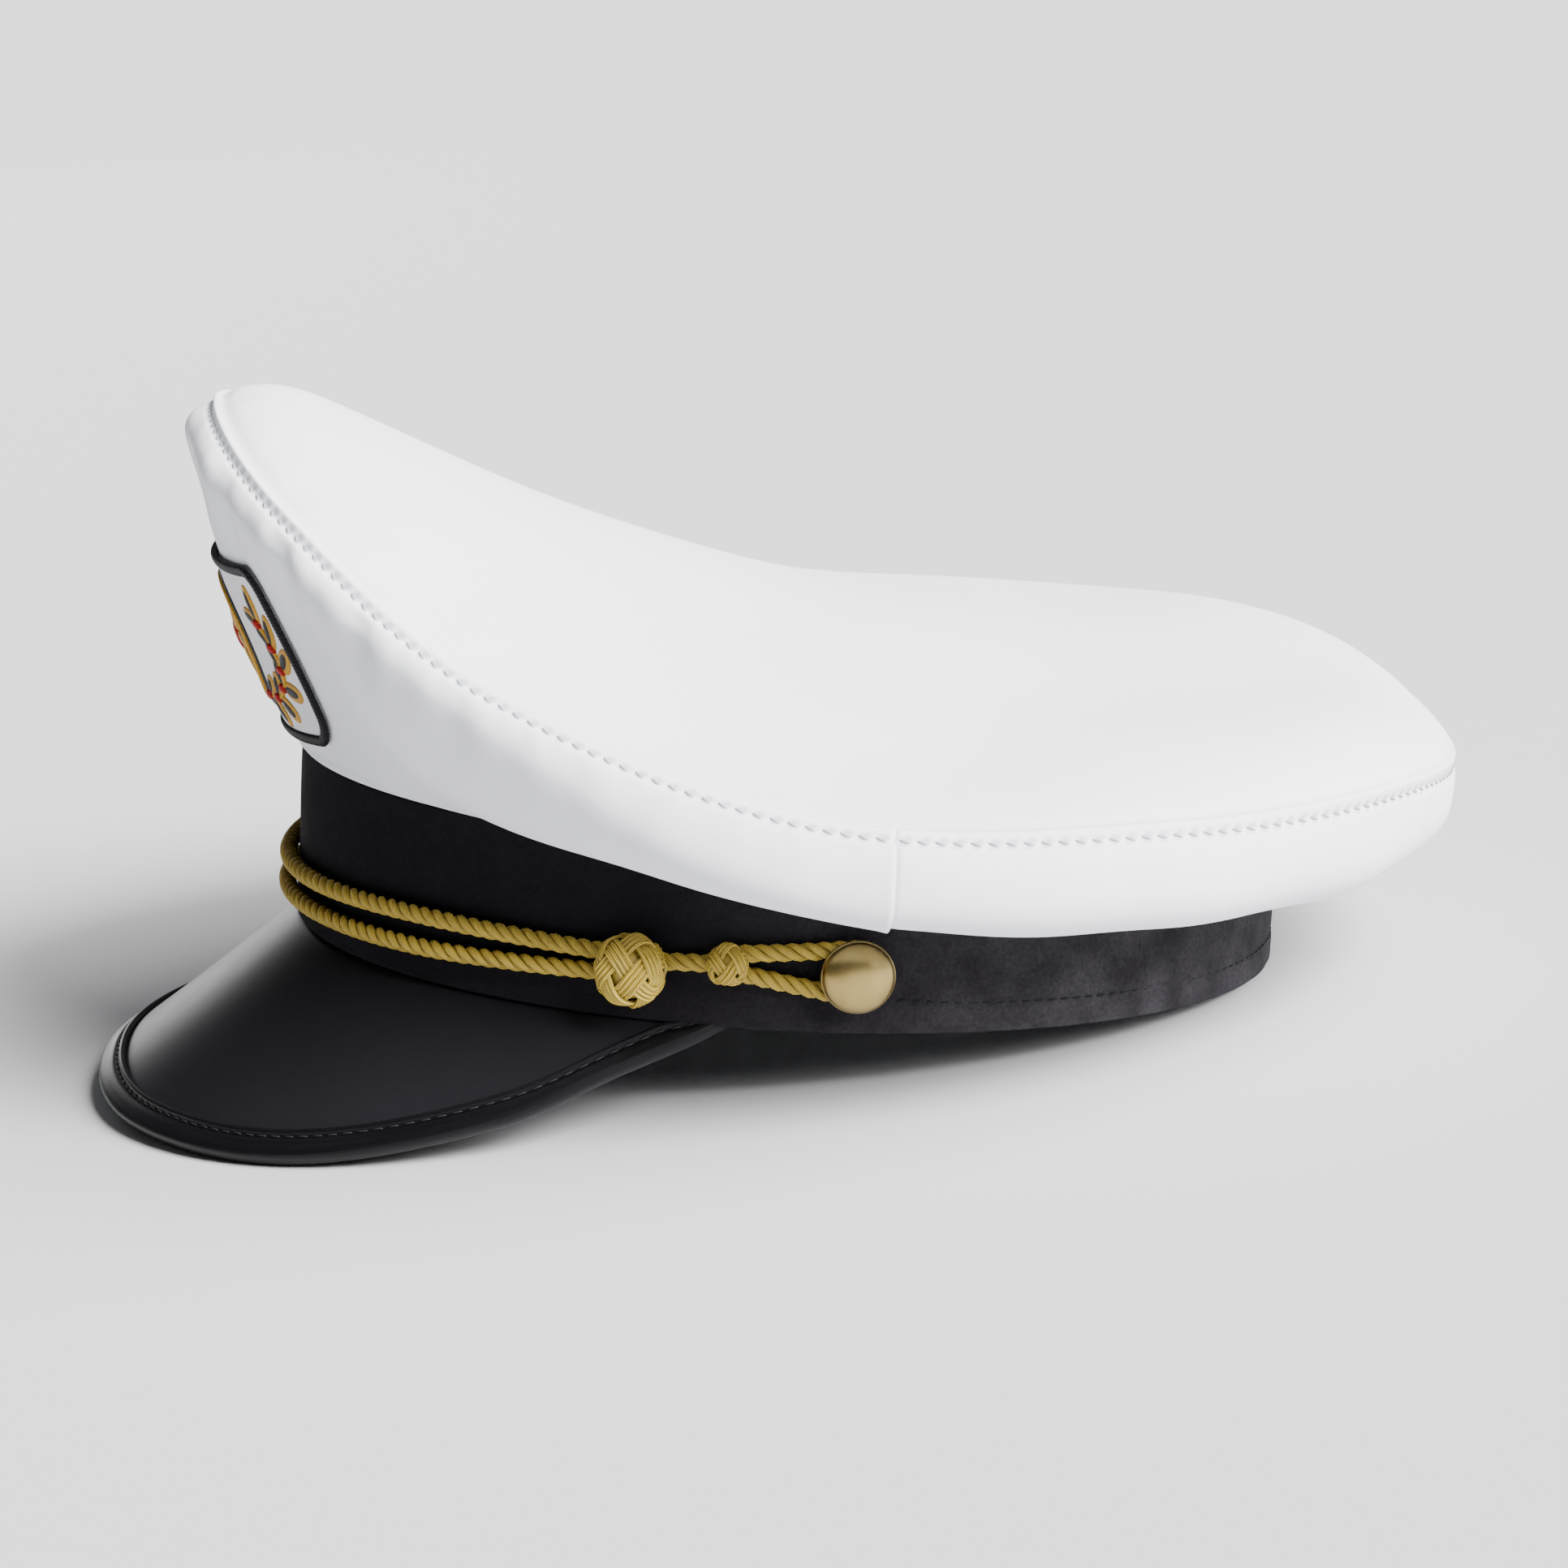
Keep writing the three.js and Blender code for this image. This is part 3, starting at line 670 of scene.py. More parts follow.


# painted shade: the white thread is painted mid grey, far darker than the cloth, for the shade in
# the hollows where the stitches sink
WHITE_THREAD_PAINTED_SHADE = thread("white_thread_painted_shade", (0.38, 0.385, 0.41), 0.7)
BLACK_THREAD = thread("black_thread", (0.005, 0.005, 0.006), 0.6)
GREY_THREAD = thread("grey_thread", (0.012, 0.012, 0.014), 0.5)


def sew(name, rows, thread, slot, **stitch):
    """A piece of stitches along one or more rows, each given as its line, facing and pitch."""
    grids = []
    for row in rows:
        grids += stitch_row(*even_steps(*row), **stitch)
    return dress(make_piece(name, grids), thread, slot)


seam_rows = []
for grid, down, angles in SIDES:
    off = stitch_distance(angles)
    seam_rows.append((crossing(grid, down, off), crossing(normals(grid), down, off), STITCH_PITCH))
sew("seam_stitches", seam_rows, WHITE_THREAD_PAINTED_SHADE, "crown_cloth",
    length=2.3, radius=0.32, rise=-0.1, slant=-22)

# %% [markdown]
# ## The band
#
# One wall of fine black cloth round the head, over a stiffener. It is an outline, a tall thin
# box with round corners, carried round the oval. Behind the peak its lower edge is turned up
# and stitched, which leaves a shallow line and a slightly thicker hem.


# %% The band's cloth
def round_box(x0, x1, z0, z1, radius, side_steps, corner_steps=5):
    """A closed outline of a box with round corners, as (out, height), from its outer side up."""
    left, right, low, high = x0 + radius, x1 - radius, z0 + radius, z1 - radius
    middles = [(right, low), (right, high), (left, high), (left, low)]
    points = []
    for k, middle in enumerate(middles):
        a = np.radians(np.linspace(0, 90, corner_steps) + 90 * (k - 1))
        points.append(middle + radius * np.stack([np.cos(a), np.sin(a)], -1))
        if k in (0, 2):
            x, z = points[-1][-1]
            rise = np.linspace(z, middles[k + 1][1], side_steps)[1:-1]
            points.append(np.stack([np.full_like(rise, x), rise], -1))
    return np.concatenate([*points, points[0][:1]])


HEM = {"at": (0, 82, 108, 140, 180), "height": (8.8, 8.8, 6.2, 5.5, 5.5)}
HEM_PITCH, HEM_FROM = 2.9, 84

band_angles = np.linspace(-180, 180, 421)
outline = round_box(-BAND_WALL, 0, 0, BAND_HEIGHT, 0.55, 46)
d, out = np.meshgrid(band_angles, outline[:, 0], indexing="ij")
z = np.broadcast_to(outline[:, 1], d.shape)
hem = column(HEM, "height", d)
behind = ramp(np.abs(d), HEM_FROM - 7, HEM_FROM)
around_run = run_length(around(band_angles, 0, 0.0))[:, None] + 0 * d
hem_relief = behind * (-0.3 * bump(z, hem, 0.6) + 0.22 * (1 - ramp(z, hem - 0.6, hem + 0.4)))
closing = np.minimum(around_run, around_run[-1:] - around_run)
uneven = 0.28 * waves(around_run, z, 34, 31) * ramp(z, 1, 5) * ramp(closing, 0, 30)
dents = 0.1 * waves(around_run, z * 1.6, 9, 37) * behind * ramp(closing, 0, 10)
relief = (hem_relief + uneven + dents) * (out > -0.6) * (1 - ramp(z, BAND_HEIGHT - 2, BAND_HEIGHT))
band_grid = around(d, out + relief, z)


def black_cloth():
    look = Look("black_cloth", (0.006, 0.0055, 0.0075), Specular_IOR_Level=0.05)
    y = look.parts(look.coordinates())[1]
    # The mottle is the band's own wear. Its growth from front to back is painted light: held down
    # under the crown's front as painted shade, and lighter at the back.
    wear_and_painted_light = (look.noise(110.0, 5.0) * 1.1 - 0.1).clamp() * (y * 12.0 + 0.35).clamp(0.06, 1.0)
    fibres = look.noise(1300.0, 3.0)
    tone = (wear_and_painted_light * 0.35 + wear_and_painted_light * fibres * 1.1 + fibres * 0.12 - 0.05).clamp()
    look.paint(Base_Color=look.mix(tone, (0.0064, 0.0054, 0.0073), (0.054, 0.051, 0.056)))
    look.paint(Roughness=look.noise(300.0) * 0.15 + 0.78)
    return look.relief(weave(look, 2.2) * 0.6 + fibres * 0.6, 0.035).material


BLACK = black_cloth()
band_uv = np.stack([around_run, z + 80 * (out < -1)], -1)
band_cloth = make_piece("band_cloth", [band_grid], None, [band_uv])
dress(band_cloth, BLACK, "band_cloth", "band")

hem_angles = np.linspace(HEM_FROM, 360 - HEM_FROM, 400)
hem_line = around(hem_angles, 0.02, column(HEM, "height", hem_angles))
sew("hem_stitches", [(hem_line, outward(hem_angles), HEM_PITCH)], BLACK_THREAD, "band_cloth",
    length=1.9, radius=0.2, rise=-0.16)

# %% [markdown]
# ## The peak and its binding
#
# A stiff sheet of shiny black vinyl slopes down from the band, longest in front. Its sewn
# edge turns up inside the band, and its ends tuck in there. A strip of the same vinyl is
# folded round its free edge. It starts in a raised bead, dips where it is stitched, and
# rolls round the edge to the under side.

# %% The peak's formula
PEAK_END, PEAK_INSET, PEAK_SHEET, PEAK_DISH, UNDER_BINDING = 83, 1.0, 2.0, 0.35, 1.6
TUCK_FROM, TUCK_RISE, TUCK_INSET = 70, 4.0, 3.5
BINDING_WIDTH = 7.0


def tucked(degrees, out, height):
    """A point at an angle, out and high. Past the tuck's start, it moves in and rises by a
    parabola, which reaches its full share at the peak's end."""
    share = np.maximum((np.abs(degrees) - TUCK_FROM) / (PEAK_END - TUCK_FROM), 0) ** 2
    return around(degrees, out - TUCK_INSET * share, height + TUCK_RISE * share)


def peak_point(degrees, along, above):
    """A point of the peak: down its slope by along from its root, and above its upper face."""
    slope = np.radians(column(PEAK, "slope", degrees))
    out = along * np.cos(slope) + above * np.sin(slope) - PEAK_INSET
    return tucked(degrees, out, above * np.cos(slope) - along * np.sin(slope) - GAP)


def binding_share(length):
    """The binding's width as a share of the full one: it narrows where the peak is short."""
    return np.minimum(BINDING_WIDTH, length - 0.9) / BINDING_WIDTH


def close_ends(grid):
    """Closes a tube's two ends: one more row at each, all of it at the end row's middle."""
    first, last = (np.broadcast_to(grid[k].mean(0), grid[k].shape) for k in (0, -1))
    return np.concatenate([first[None], grid, last[None]])


peak_angles = np.linspace(-PEAK_END, PEAK_END, 281)
peak_length = column(PEAK, "length", peak_angles)
sheet_share = np.concatenate([np.linspace(0, 1, 30), np.linspace(1, 0, 30), [0]])
sheet_above = np.concatenate([np.zeros(30), np.full(30, -PEAK_SHEET), [0]])
d, share = np.meshgrid(peak_angles, sheet_share, indexing="ij")
reach = np.maximum(peak_length - UNDER_BINDING, 0.2)[:, None]
dish = PEAK_DISH * np.sin(np.pi * share) * ramp(reach, 10, 40)
peak_grid = peak_point(d, reach * share, sheet_above - dish)

# The sewn edge turns up behind the band, as rows of (out, height), from its foot round.
TURNED_UP = [(-2.9, -1.3), (-2.9, 1.0), (-2.3, 1.0), (-2.3, -0.3)]
turned_up = np.stack([tucked(peak_angles, x, z) for x, z in TURNED_UP], 1)
peak_grid = np.concatenate([peak_grid[:, :-1], turned_up, peak_grid[:, -1:]], 1)


def black_vinyl():
    look = Look("black_vinyl", (0.009, 0.009, 0.01), Specular_IOR_Level=0.06)
    smear = look.noise(30.0, 3.0)
    look.paint(Base_Color=look.mix(smear, (0.0082, 0.0079, 0.0098), (0.011, 0.0107, 0.013)))
    look.paint(Roughness=smear * 0.08 + look.noise(220.0) * 0.04 + 0.26)
    return look.relief(look.noise(90.0), 0.03).material


def binding_vinyl():
    look = Look("binding_vinyl", (0.004, 0.004, 0.005), Specular_IOR_Level=0.15)
    u, v = look.on_map()
    drawn = look.node("CombineXYZ", {}, {0: u * 0.04, 1: v * 1.1})
    streaks = look.noise(1.0, 3.0, drawn)
    look.paint(Base_Color=look.mix(streaks, (0.0014, 0.0014, 0.002), (0.005, 0.005, 0.006)))
    look.paint(Roughness=streaks * 0.16 + 0.26)
    return look.relief(streaks * 0.7 + look.noise(1100.0, 2.0) * 0.3, 0.07).material


peak_sheet = make_piece("peak_sheet", [close_ends(peak_grid)])
dress(peak_sheet, black_vinyl(), "peak_vinyl", "peak")

# %% The binding's profile
PROFILE = np.array([
    # along the slope from the peak's edge, and above the peak's upper face
    (-7.0, 0.15), (-7.05, 0.6), (-6.85, 1.0), (-6.5, 1.2), (-6.1, 1.22), (-5.75, 1.05),
    (-5.45, 0.72), (-5.1, 0.58), (-4.75, 0.68), (-4.3, 0.95), (-3.7, 1.12), (-2.9, 1.2),
    (-2.0, 1.22), (-1.2, 1.18), (-0.6, 0.98), (-0.18, 0.6), (0.0, 0.05), (0.05, -0.6),
    (0.0, -1.3), (-0.12, -1.95), (-0.45, -2.55), (-1.0, -2.98), (-1.8, -3.18), (-3.0, -3.22),
    (-4.5, -3.2), (-6.0, -3.15), (-6.8, -3.0), (-7.0, -2.6), (-6.8, -2.3), (-3.0, -2.3),
    (-1.5, -2.2), (-1.4, -1.0), (-1.5, 0.1), (-3.0, 0.2), (-6.8, 0.2), (-7.0, 0.15),
])


def refine(line, count, closed=False):
    """More points along a line: a Catmull-Rom curve, whose slope at each point is half the
    step between its two neighbours."""
    before, after = np.roll(line, 1, 0), np.roll(line, -1, 0)
    if closed:
        before[0], after[-1] = line[-2], line[1]
    else:
        before[0], after[-1] = line[0], line[-1]
    slope = (after - before) / 2
    s = np.linspace(0, len(line) - 1, count)
    i = np.minimum(s.astype(int), len(line) - 2)
    return cubic(line[i], line[i + 1], slope[i], slope[i + 1], (s - i)[:, None])


profile = refine(PROFILE, 90, closed=True)
d = np.broadcast_to(peak_angles[:, None], (len(peak_angles), len(profile)))
along = peak_length[:, None] + profile[:, 0] * binding_share(peak_length)[:, None]
binding_grid = peak_point(d, along, profile[None, :, 1])
edge_run = run_length(binding_grid[:, len(profile) // 2])[:, None] + 0 * d
binding_uv = np.stack([edge_run, run_length(profile) + 0 * d], -1)
closed_uv = np.concatenate([binding_uv[:1], binding_uv, binding_uv[-1:]])
binding_strip = make_piece("binding_strip", [close_ends(binding_grid)], None, [closed_uv])
dress(binding_strip, binding_vinyl(), "binding_vinyl", "peak_binding")

STITCHED_AT, STITCHED_ABOVE, BINDING_PITCH, STITCHED_TO = -5.1, 0.62, 3.3, 79
sewn = peak_angles[np.abs(peak_angles) < STITCHED_TO]
sewn_length = column(PEAK, "length", sewn)
sewn_line = peak_point(sewn, sewn_length + STITCHED_AT * binding_share(sewn_length), STITCHED_ABOVE)
sewn_up = peak_point(sewn, sewn_length, 1.0) - peak_point(sewn, sewn_length, 0.0)
sew("binding_stitches", [(sewn_line, sewn_up, BINDING_PITCH)], GREY_THREAD, "binding_vinyl",
    length=2.1, radius=0.26)

# %% [markdown]
# ## The gold cord
#
# The cord is three plies of silky gold thread laid together like a rope. Each ply is a
# lobed tube, its lobes being bundles of thread, wound round the cord's middle line by a
# helix: as the length along the cord grows by one lay, the ply turns once about it. The cord
# lies against the band all the way, so its route is the band's oval, moved off by its radius.

# %% Plies along a route
CORD_RADIUS = 1.8
LAY = 9.2
PLY_HELIX, PLY_RADIUS = 0.98, 0.82
ON_BAND = CORD_RADIUS + GAP


def heading(path, ring=False):
    """The direction of a line at each point. A ring's last point lies on its first."""
    run = np.gradient(path, axis=0)
    if ring:
        run[0] = run[-1] = path[1] - path[-2]
    return unit(run)


def across_axes(path, facing, ring=False):
    """Two directions across a line: the first as near to facing as it can be."""
    run = heading(path, ring)
    first = unit(facing - (facing * run).sum(-1, keepdims=True) * run)
    return first, np.cross(run, first)


def tube(path, facing, radius, sides, lobes=0, depth=0.0, ring=False):
    """A tube along a path: a circle in the plane across it, whose radius rises and falls
    lobes times round by a share of depth. Both ends are closed, or meet if it is a ring."""
    first, second = across_axes(path, facing, ring)
    a = np.linspace(0, 2 * np.pi, sides + 1)
    r = radius * (1 + depth * np.cos(lobes * a))
    x, y = (r * np.cos(a))[:, None], (r * np.sin(a))[:, None]
    grid = path[:, None] + first[:, None] * x + second[:, None] * y
    s = run_length(path)
    if not ring:
        grid = close_ends(grid)
        s = np.concatenate([s[:1], s, s[-1:]])
    s = s[:, None] + 0 * a
    return grid, np.stack([s, np.broadcast_to(a / (2 * np.pi), s.shape)], -1)


def plies(path, facing, start=0.0):
    """Three plies round a path. Ply k stands off it by the helix's radius, in the direction
    that faces out, turned about the path by a full turn for each lay and k thirds."""
    first, second = across_axes(path, facing)
    s = run_length(path)
    made = []
    for k in range(3):
        turn = (2 * np.pi * (s / LAY + k / 3 + start))[:, None]
        off = first * np.cos(turn) + second * np.sin(turn)
        made.append(tube(path + off * PLY_HELIX, off, PLY_RADIUS, 16, 8, 0.06))
    return made


def gold_thread(name, across):
    """Silky gold: fine threads along each ply, each of its own tone. The cosine of the angle
    round the ply paints shade on the side that faces its neighbours, as painted shade."""
    look = Look(name, (0.4, 0.22, 0.03), Specular_IOR_Level=0.35)
    u, v = look.on_map()
    ribs = ((v * (2 * np.pi * across) + u * 0.9).sin()) * 0.5 + 0.5
    tint = look.noise(1.0, 1.0, look.node("CombineXYZ", {}, {0: u * 0.35, 1: v * across * 1.3}))
    patches = look.noise(160.0, 2.0)
    # painted shade: each ply, and each knot thread, is painted darker on its side that faces in
    painted_ply_shade = ((v * (2 * np.pi) + np.pi / 2).sin() * 0.9 + 0.75).clamp()
    tone = (ribs * 0.55 + tint * 0.45 + patches * 0.35 - 0.15).clamp() * painted_ply_shade
    look.paint(Base_Color=look.mix(tone, (0.1, 0.061, 0.0045), (0.74, 0.525, 0.074)))
    look.paint(Roughness=tint * 0.2 + 0.36)
    return look.relief(ribs + tint * 0.4, 0.09).material


GOLD = gold_thread("gold_thread", 16)
GOLD_FINE = gold_thread("gold_thread_fine", 5)
BIG_KNOT = {"at": 71.5, "height": 11.6, "radius": 7.5}
SMALL_KNOT = {"at": 81.7, "height": 13.8, "radius": 4.4}
BUTTON_AT, BUTTON_HEIGHT = 95.6, 12.8
HANDS = (("left", 1), ("right", -1))


def gather(name, made, material, slot, *nodes):
    """One piece from several tubes with their maps."""
    grids, uvs = zip(*made)
    return dress(make_piece(name, grids, None, uvs), material, slot, *nodes)


def lay_cord(node, degrees, height, start):
    """A cord's three plies along a route on the band."""
    cord = plies(around(degrees, ON_BAND, height), outward(degrees), start)
    gather(node + "_plies", cord, GOLD, "gold_cord", node)


FRONT_REACH = 70.5
front_run = np.linspace(-FRONT_REACH, FRONT_REACH, 640)
for level, start in (("upper", 0.1), ("lower", 0.45)):
    lay_cord("cord_" + level, front_run, column(CORDS, level, front_run), start)

# %% The link between the knots, and the loop round the button
LOOP_RADIUS, LOOP_START, LEGS_APART = 4.9, 1.4, 1.95
mm_per_degree = np.linalg.norm(around(BUTTON_AT, 0, 0.0) - around(BUTTON_AT - 1, 0, 0.0))
turns = np.radians(np.linspace(90, -90, 7))
bend = np.stack([BUTTON_AT + LOOP_RADIUS * np.cos(turns) / mm_per_degree,
                 BUTTON_HEIGHT + LOOP_RADIUS * np.sin(turns)], -1)
first, last = (np.array([SMALL_KNOT["at"] + LOOP_START, SMALL_KNOT["height"] + off])
               for off in (LEGS_APART, -LEGS_APART))
loop_route = [first, (first + bend[0]) / 2, *bend, (last + bend[-1]) / 2, last]
loop_route = refine(np.array(loop_route), 240)
LINK_ENDS = [(BIG_KNOT["at"] + 2.5, 12.9), (SMALL_KNOT["at"] - 1.5, 13.4)]
link_route = np.linspace(*LINK_ENDS, 70)
for word, side in HANDS:
    for name, line in (("loop", loop_route), ("link", link_route)):
        lay_cord(f"cord_{name}_{word}", side * line[:, 0], line[:, 1], 0.3)

# %% [markdown]
# ## The woven knots
#
# Each knot is a ball-shaped Turk's head: one strand of parallel threads that runs round the
# cord several times while it swings from end to end of the ball, passing over and under
# itself in turn. A dark gold core closes the small gaps in the weave.


# %% Turk's head on a ball
KNOT_DEPTH, KNOT_END, KNOT_START = 0.8, np.radians(64), 0.4
THREAD_SPACING, STRAND_CROWN, CORE_LENGTH = 1.9, 0.12, 0.86


def turks_head(knot, side, threads, thread_radius, leads, bights, over):
    """Threads of the knot. The strand turns about the ball's axis, which is the cord's
    direction, and its place on the axis is a sine with bights swings in leads turns. It
    crosses itself leads - 1 times on each swing, so its rise is a cosine that is leads times
    as fast as the swing, with its sign changed on the way back."""
    facing, tip = outward(side * knot["at"]), np.array([0, 0, 1.0])
    axis = np.cross(tip, facing)
    middle = around(side * knot["at"], knot["radius"] * KNOT_DEPTH + GAP, knot["height"])
    size = knot["radius"] - over - thread_radius
    turn = np.linspace(0, 2 * np.pi * leads, 120 * leads + 1)[:, None]
    swing = bights * turn / leads + KNOT_START
    along = np.sin(KNOT_END) * np.sin(swing)
    rim = np.sqrt(1 - along**2)
    path = size * (axis * along + (facing * np.cos(turn) * KNOT_DEPTH + tip * np.sin(turn)) * rim)
    up = unit(axis * along + (facing * np.cos(turn) / KNOT_DEPTH + tip * np.sin(turn)) * rim)
    aside = np.cross(up, heading(path, ring=True))
    rise = over * np.cos(leads * (np.pi / 2 - swing)) * np.tanh(3 * np.cos(swing))
    made = []
    for k in range(threads):
        place = (k - (threads - 1) / 2) * thread_radius * THREAD_SPACING
        crown = STRAND_CROWN * (1 - (2 * k / (threads - 1) - 1) ** 2)
        line = middle + path + aside * place + up * (rise + crown)
        made.append(tube(line, up, thread_radius, 8, ring=True))
    a, b = np.meshgrid(np.linspace(0, np.pi, 17), np.linspace(0, 2 * np.pi, 33), indexing="ij")
    x, y = np.sin(a) * np.cos(b), np.sin(a) * np.sin(b)
    ball = np.stack([x * KNOT_DEPTH, y, CORE_LENGTH * np.cos(a)], -1)
    ball = middle + (size - 1.5 * over) * ball @ np.array([facing, tip, axis])
    made.append((ball, 0 * ball[..., :2]))
    return made


WEAVES = [
    # node, knot, threads, their radius, leads, bights, how far they rise over each other
    ("knot_big_", BIG_KNOT, 4, 0.5, 5, 4, 0.5),
    ("knot_small_", SMALL_KNOT, 3, 0.46, 4, 3, 0.36),
]
for word, side in HANDS:
    for node, knot, *strand in WEAVES:
        made = turks_head(knot, side, *strand)
        gather(f"{node}{word}_weave", made, GOLD_FINE, "gold_cord", node + word)

# %% [markdown]
# ## The buttons
#
# A pressed brass dome with a thin rim, on a shank that the cord's loop goes round: a profile
# turned about the button's axis. The brass is satin and a little mottled.

# %% Turned buttons
BASE = 2 * CORD_RADIUS + 2 * GAP
SHANK_RADIUS, DOME_RADIUS, DOME_HEIGHT, RIM_HEIGHT = 2.6, 7.12, 3.7, 0.9
RIM = [(6.9, 0), (7.25, 0.08), (7.4, 0.3), (7.42, 0.6), (7.32, 0.85), (7.16, 0.95)]
dome = np.radians(np.linspace(4, 90, 26))
turned = np.concatenate([
    [(0, GAP), (SHANK_RADIUS, GAP), (SHANK_RADIUS, BASE)],
    np.array(RIM) + (0, BASE),
    np.stack([DOME_RADIUS * np.cos(dome) ** 0.9,
              BASE + RIM_HEIGHT + DOME_HEIGHT * np.sin(dome) ** 1.1], -1),
])


def aged_brass():
    look = Look("aged_brass", (0.6, 0.45, 0.22), Metallic=1.0)
    cloud = look.noise(150.0, 3.0)
    scratches = look.noise(1400.0, 3.0)
    look.paint(Base_Color=look.mix(cloud, (0.27, 0.185, 0.06), (0.47, 0.36, 0.145)))
    look.paint(Roughness=cloud * 0.08 + scratches * 0.04 + 0.26)
    return look.relief(cloud, 0.004).material


BRASS = aged_brass()
spin = np.radians(np.linspace(0, 360, 65))
for word, side in HANDS:
    facing = outward(side * BUTTON_AT)
    axes = np.array([np.cross([0, 0, 1.0], facing), [0, 0, 1.0], facing])
    local = np.stack([turned[:, None, 0] * np.cos(spin), turned[:, None, 0] * np.sin(spin),
                      turned[:, None, 1] + 0 * spin], -1)
    grid = local @ axes + around(side * BUTTON_AT, 0, BUTTON_HEIGHT)
    button = make_piece("button_%s_dome" % word, [grid])
    dress(button, BRASS, "button_brass", "button_" + word)

# %% [markdown]
# ## The sewn badge
#
# A patch of white twill with an overlocked black border, sewn to the front panel. Its design
# is a plain one: a gold star with a red heart on a white disc, in a gold hoop on black, between
# two sprays of broad leaves with berries. Every shape is drawn flat, as distance across and
# up, and then laid on the panel by one function. A straight patch laid on a panel that flares
# upwards rises at its ends, and so does the drawing.


# %% Laying a drawing on the panel
BADGE = {"half_width": 40.5, "low": 38.6, "high": 75.0, "corner": 6.0, "border": 1.1, "bow": 4.0}
BADGE_MIDDLE = (BADGE["low"] + BADGE["high"]) / 2
PANEL_LEAN = 67.0
SATIN_PITCH, TWILL_PITCH = 0.42, 0.55


def panel_point(across, drawn, off):
    """A point off the front panel. Its height is the drawn one plus the bow times the square
    of the share across. The angle is the distance across divided by the panel's reach at one
    degree, and the outline at that angle, moved out by off, gives the rest."""
    shape = np.broadcast_shapes(np.shape(across), np.shape(drawn), np.shape(off))
    x, z, off = (np.broadcast_to(v, shape).ravel().astype(float) for v in (across, drawn, off))
    z = z + BADGE["bow"] * (x / BADGE["half_width"]) ** 2
    lean_out = (z - BAND_HEIGHT) / np.tan(np.radians(PANEL_LEAN))
    degrees = x / around(1.0, lean_out, 0.0)[:, 0]
    line = side_lines(degrees, np.linspace(0, 1, 19), np.linspace(0, 1, 3))
    run = unit(np.gradient(line, axis=1))
    line = line + np.stack([run[..., 1], -run[..., 0]], -1) * off[:, None, None]
    found = crossing(line, line[..., 1], z)
    return around(degrees, found[:, 0], z).reshape(*shape, 3)


def satin(name, color):
    """Satin stitch: close parallel threads across each shape, of slightly uneven tone."""
    look = Look(name, color, Specular_IOR_Level=0.2)
    u = look.on_map()[0]
    ribs = (u * (2 * np.pi / SATIN_PITCH) + look.noise(500.0) * 1.5).sin() * 0.5 + 0.5
    low = tuple(0.55 * c for c in color)
    look.paint(Base_Color=look.mix((ribs * 0.7 + look.noise(700.0) * 0.4).clamp(), low, color))
    look.paint(Roughness=ribs * 0.15 + 0.4)
    return look.relief(ribs, 0.1).material


def white_twill():
    look = Look("white_twill", (0.74, 0.74, 0.76), Roughness=0.75)
    u, v = look.on_map()
    ribs = ((u + v) * (2 * np.pi / TWILL_PITCH)).sin() * 0.5 + 0.5
    look.paint(Base_Color=look.mix(ribs, (0.66, 0.66, 0.69), (0.78, 0.78, 0.8)))
    return look.relief(ribs + look.noise(900.0) * 0.4, 0.08).material


TWILL = white_twill()
BLACK_SATIN = satin("black_satin", (0.008, 0.008, 0.01))
GOLD_SATIN = satin("gold_satin", (0.62, 0.32, 0.025))
RED_SATIN = satin("red_satin", (0.42, 0.012, 0.012))

# %% Ground and border
GROUND_OFF, GROUND_THICK, BORDER_WRAPS, BORDER_FLAT = 1.1, 0.9, 330, 0.68
inner_width = BADGE["half_width"] - BADGE["border"]
inner_height = (BADGE["high"] - BADGE["low"]) / 2 - BADGE["border"]
inner_corner = BADGE["corner"] - BADGE["border"]
straight = np.array([inner_width, inner_height]) - inner_corner

flat_x = np.linspace(-1, 1, 91) * inner_width
into = np.maximum(np.abs(flat_x) - straight[0], 0)
half_height = straight[1] + np.sqrt(np.maximum(inner_corner**2 - into**2, 0))
x, share = np.meshgrid(flat_x, np.linspace(-1, 1, 51), indexing="ij")
z = share * half_height[:, None]
ground = panel_point(x, BADGE_MIDDLE + z, GROUND_OFF)
badge_cloth = make_piece("badge_cloth", [ground], HEAD_MIDDLE, [np.stack([x, z], -1)])
dress(thicken(badge_cloth, GROUND_THICK), TWILL, "badge_white", "badge_ground")

quarter = np.radians(np.linspace(0, 90, 60))
corner = inner_corner * np.stack([np.cos(quarter), np.sin(quarter)], -1) + straight
back_corner = corner[::-1]
outline = [corner, back_corner * (-1, 1), -corner, back_corner * (1, -1), corner[:1]]
outline = np.concatenate(outline)
s = run_length(outline)
steps = np.linspace(0, s[-1], 1201)
outline = np.stack([np.interp(steps, s, outline[:, k]) for k in range(2)], -1)
run = heading(outline, ring=True)
turn = np.linspace(0, 2 * np.pi, 15)
wraps = steps[:, None] / steps[-1] * BORDER_WRAPS * 2 * np.pi + 1.4 * turn
thick = BADGE["border"] * (1 + 0.07 * np.sin(wraps))
side = thick * np.cos(turn)
border = panel_point(outline[:, :1] - run[:, 1:] * side,
                     BADGE_MIDDLE + outline[:, 1:] + run[:, :1] * side,
                     GROUND_OFF + BORDER_FLAT * thick * np.sin(turn))
border_uv = np.stack([steps[:, None] + 0.3 * turn, 0 * side + turn], -1)
gather("badge_roll", [(border, border_uv)], BLACK_SATIN, "badge_black", "badge_border")


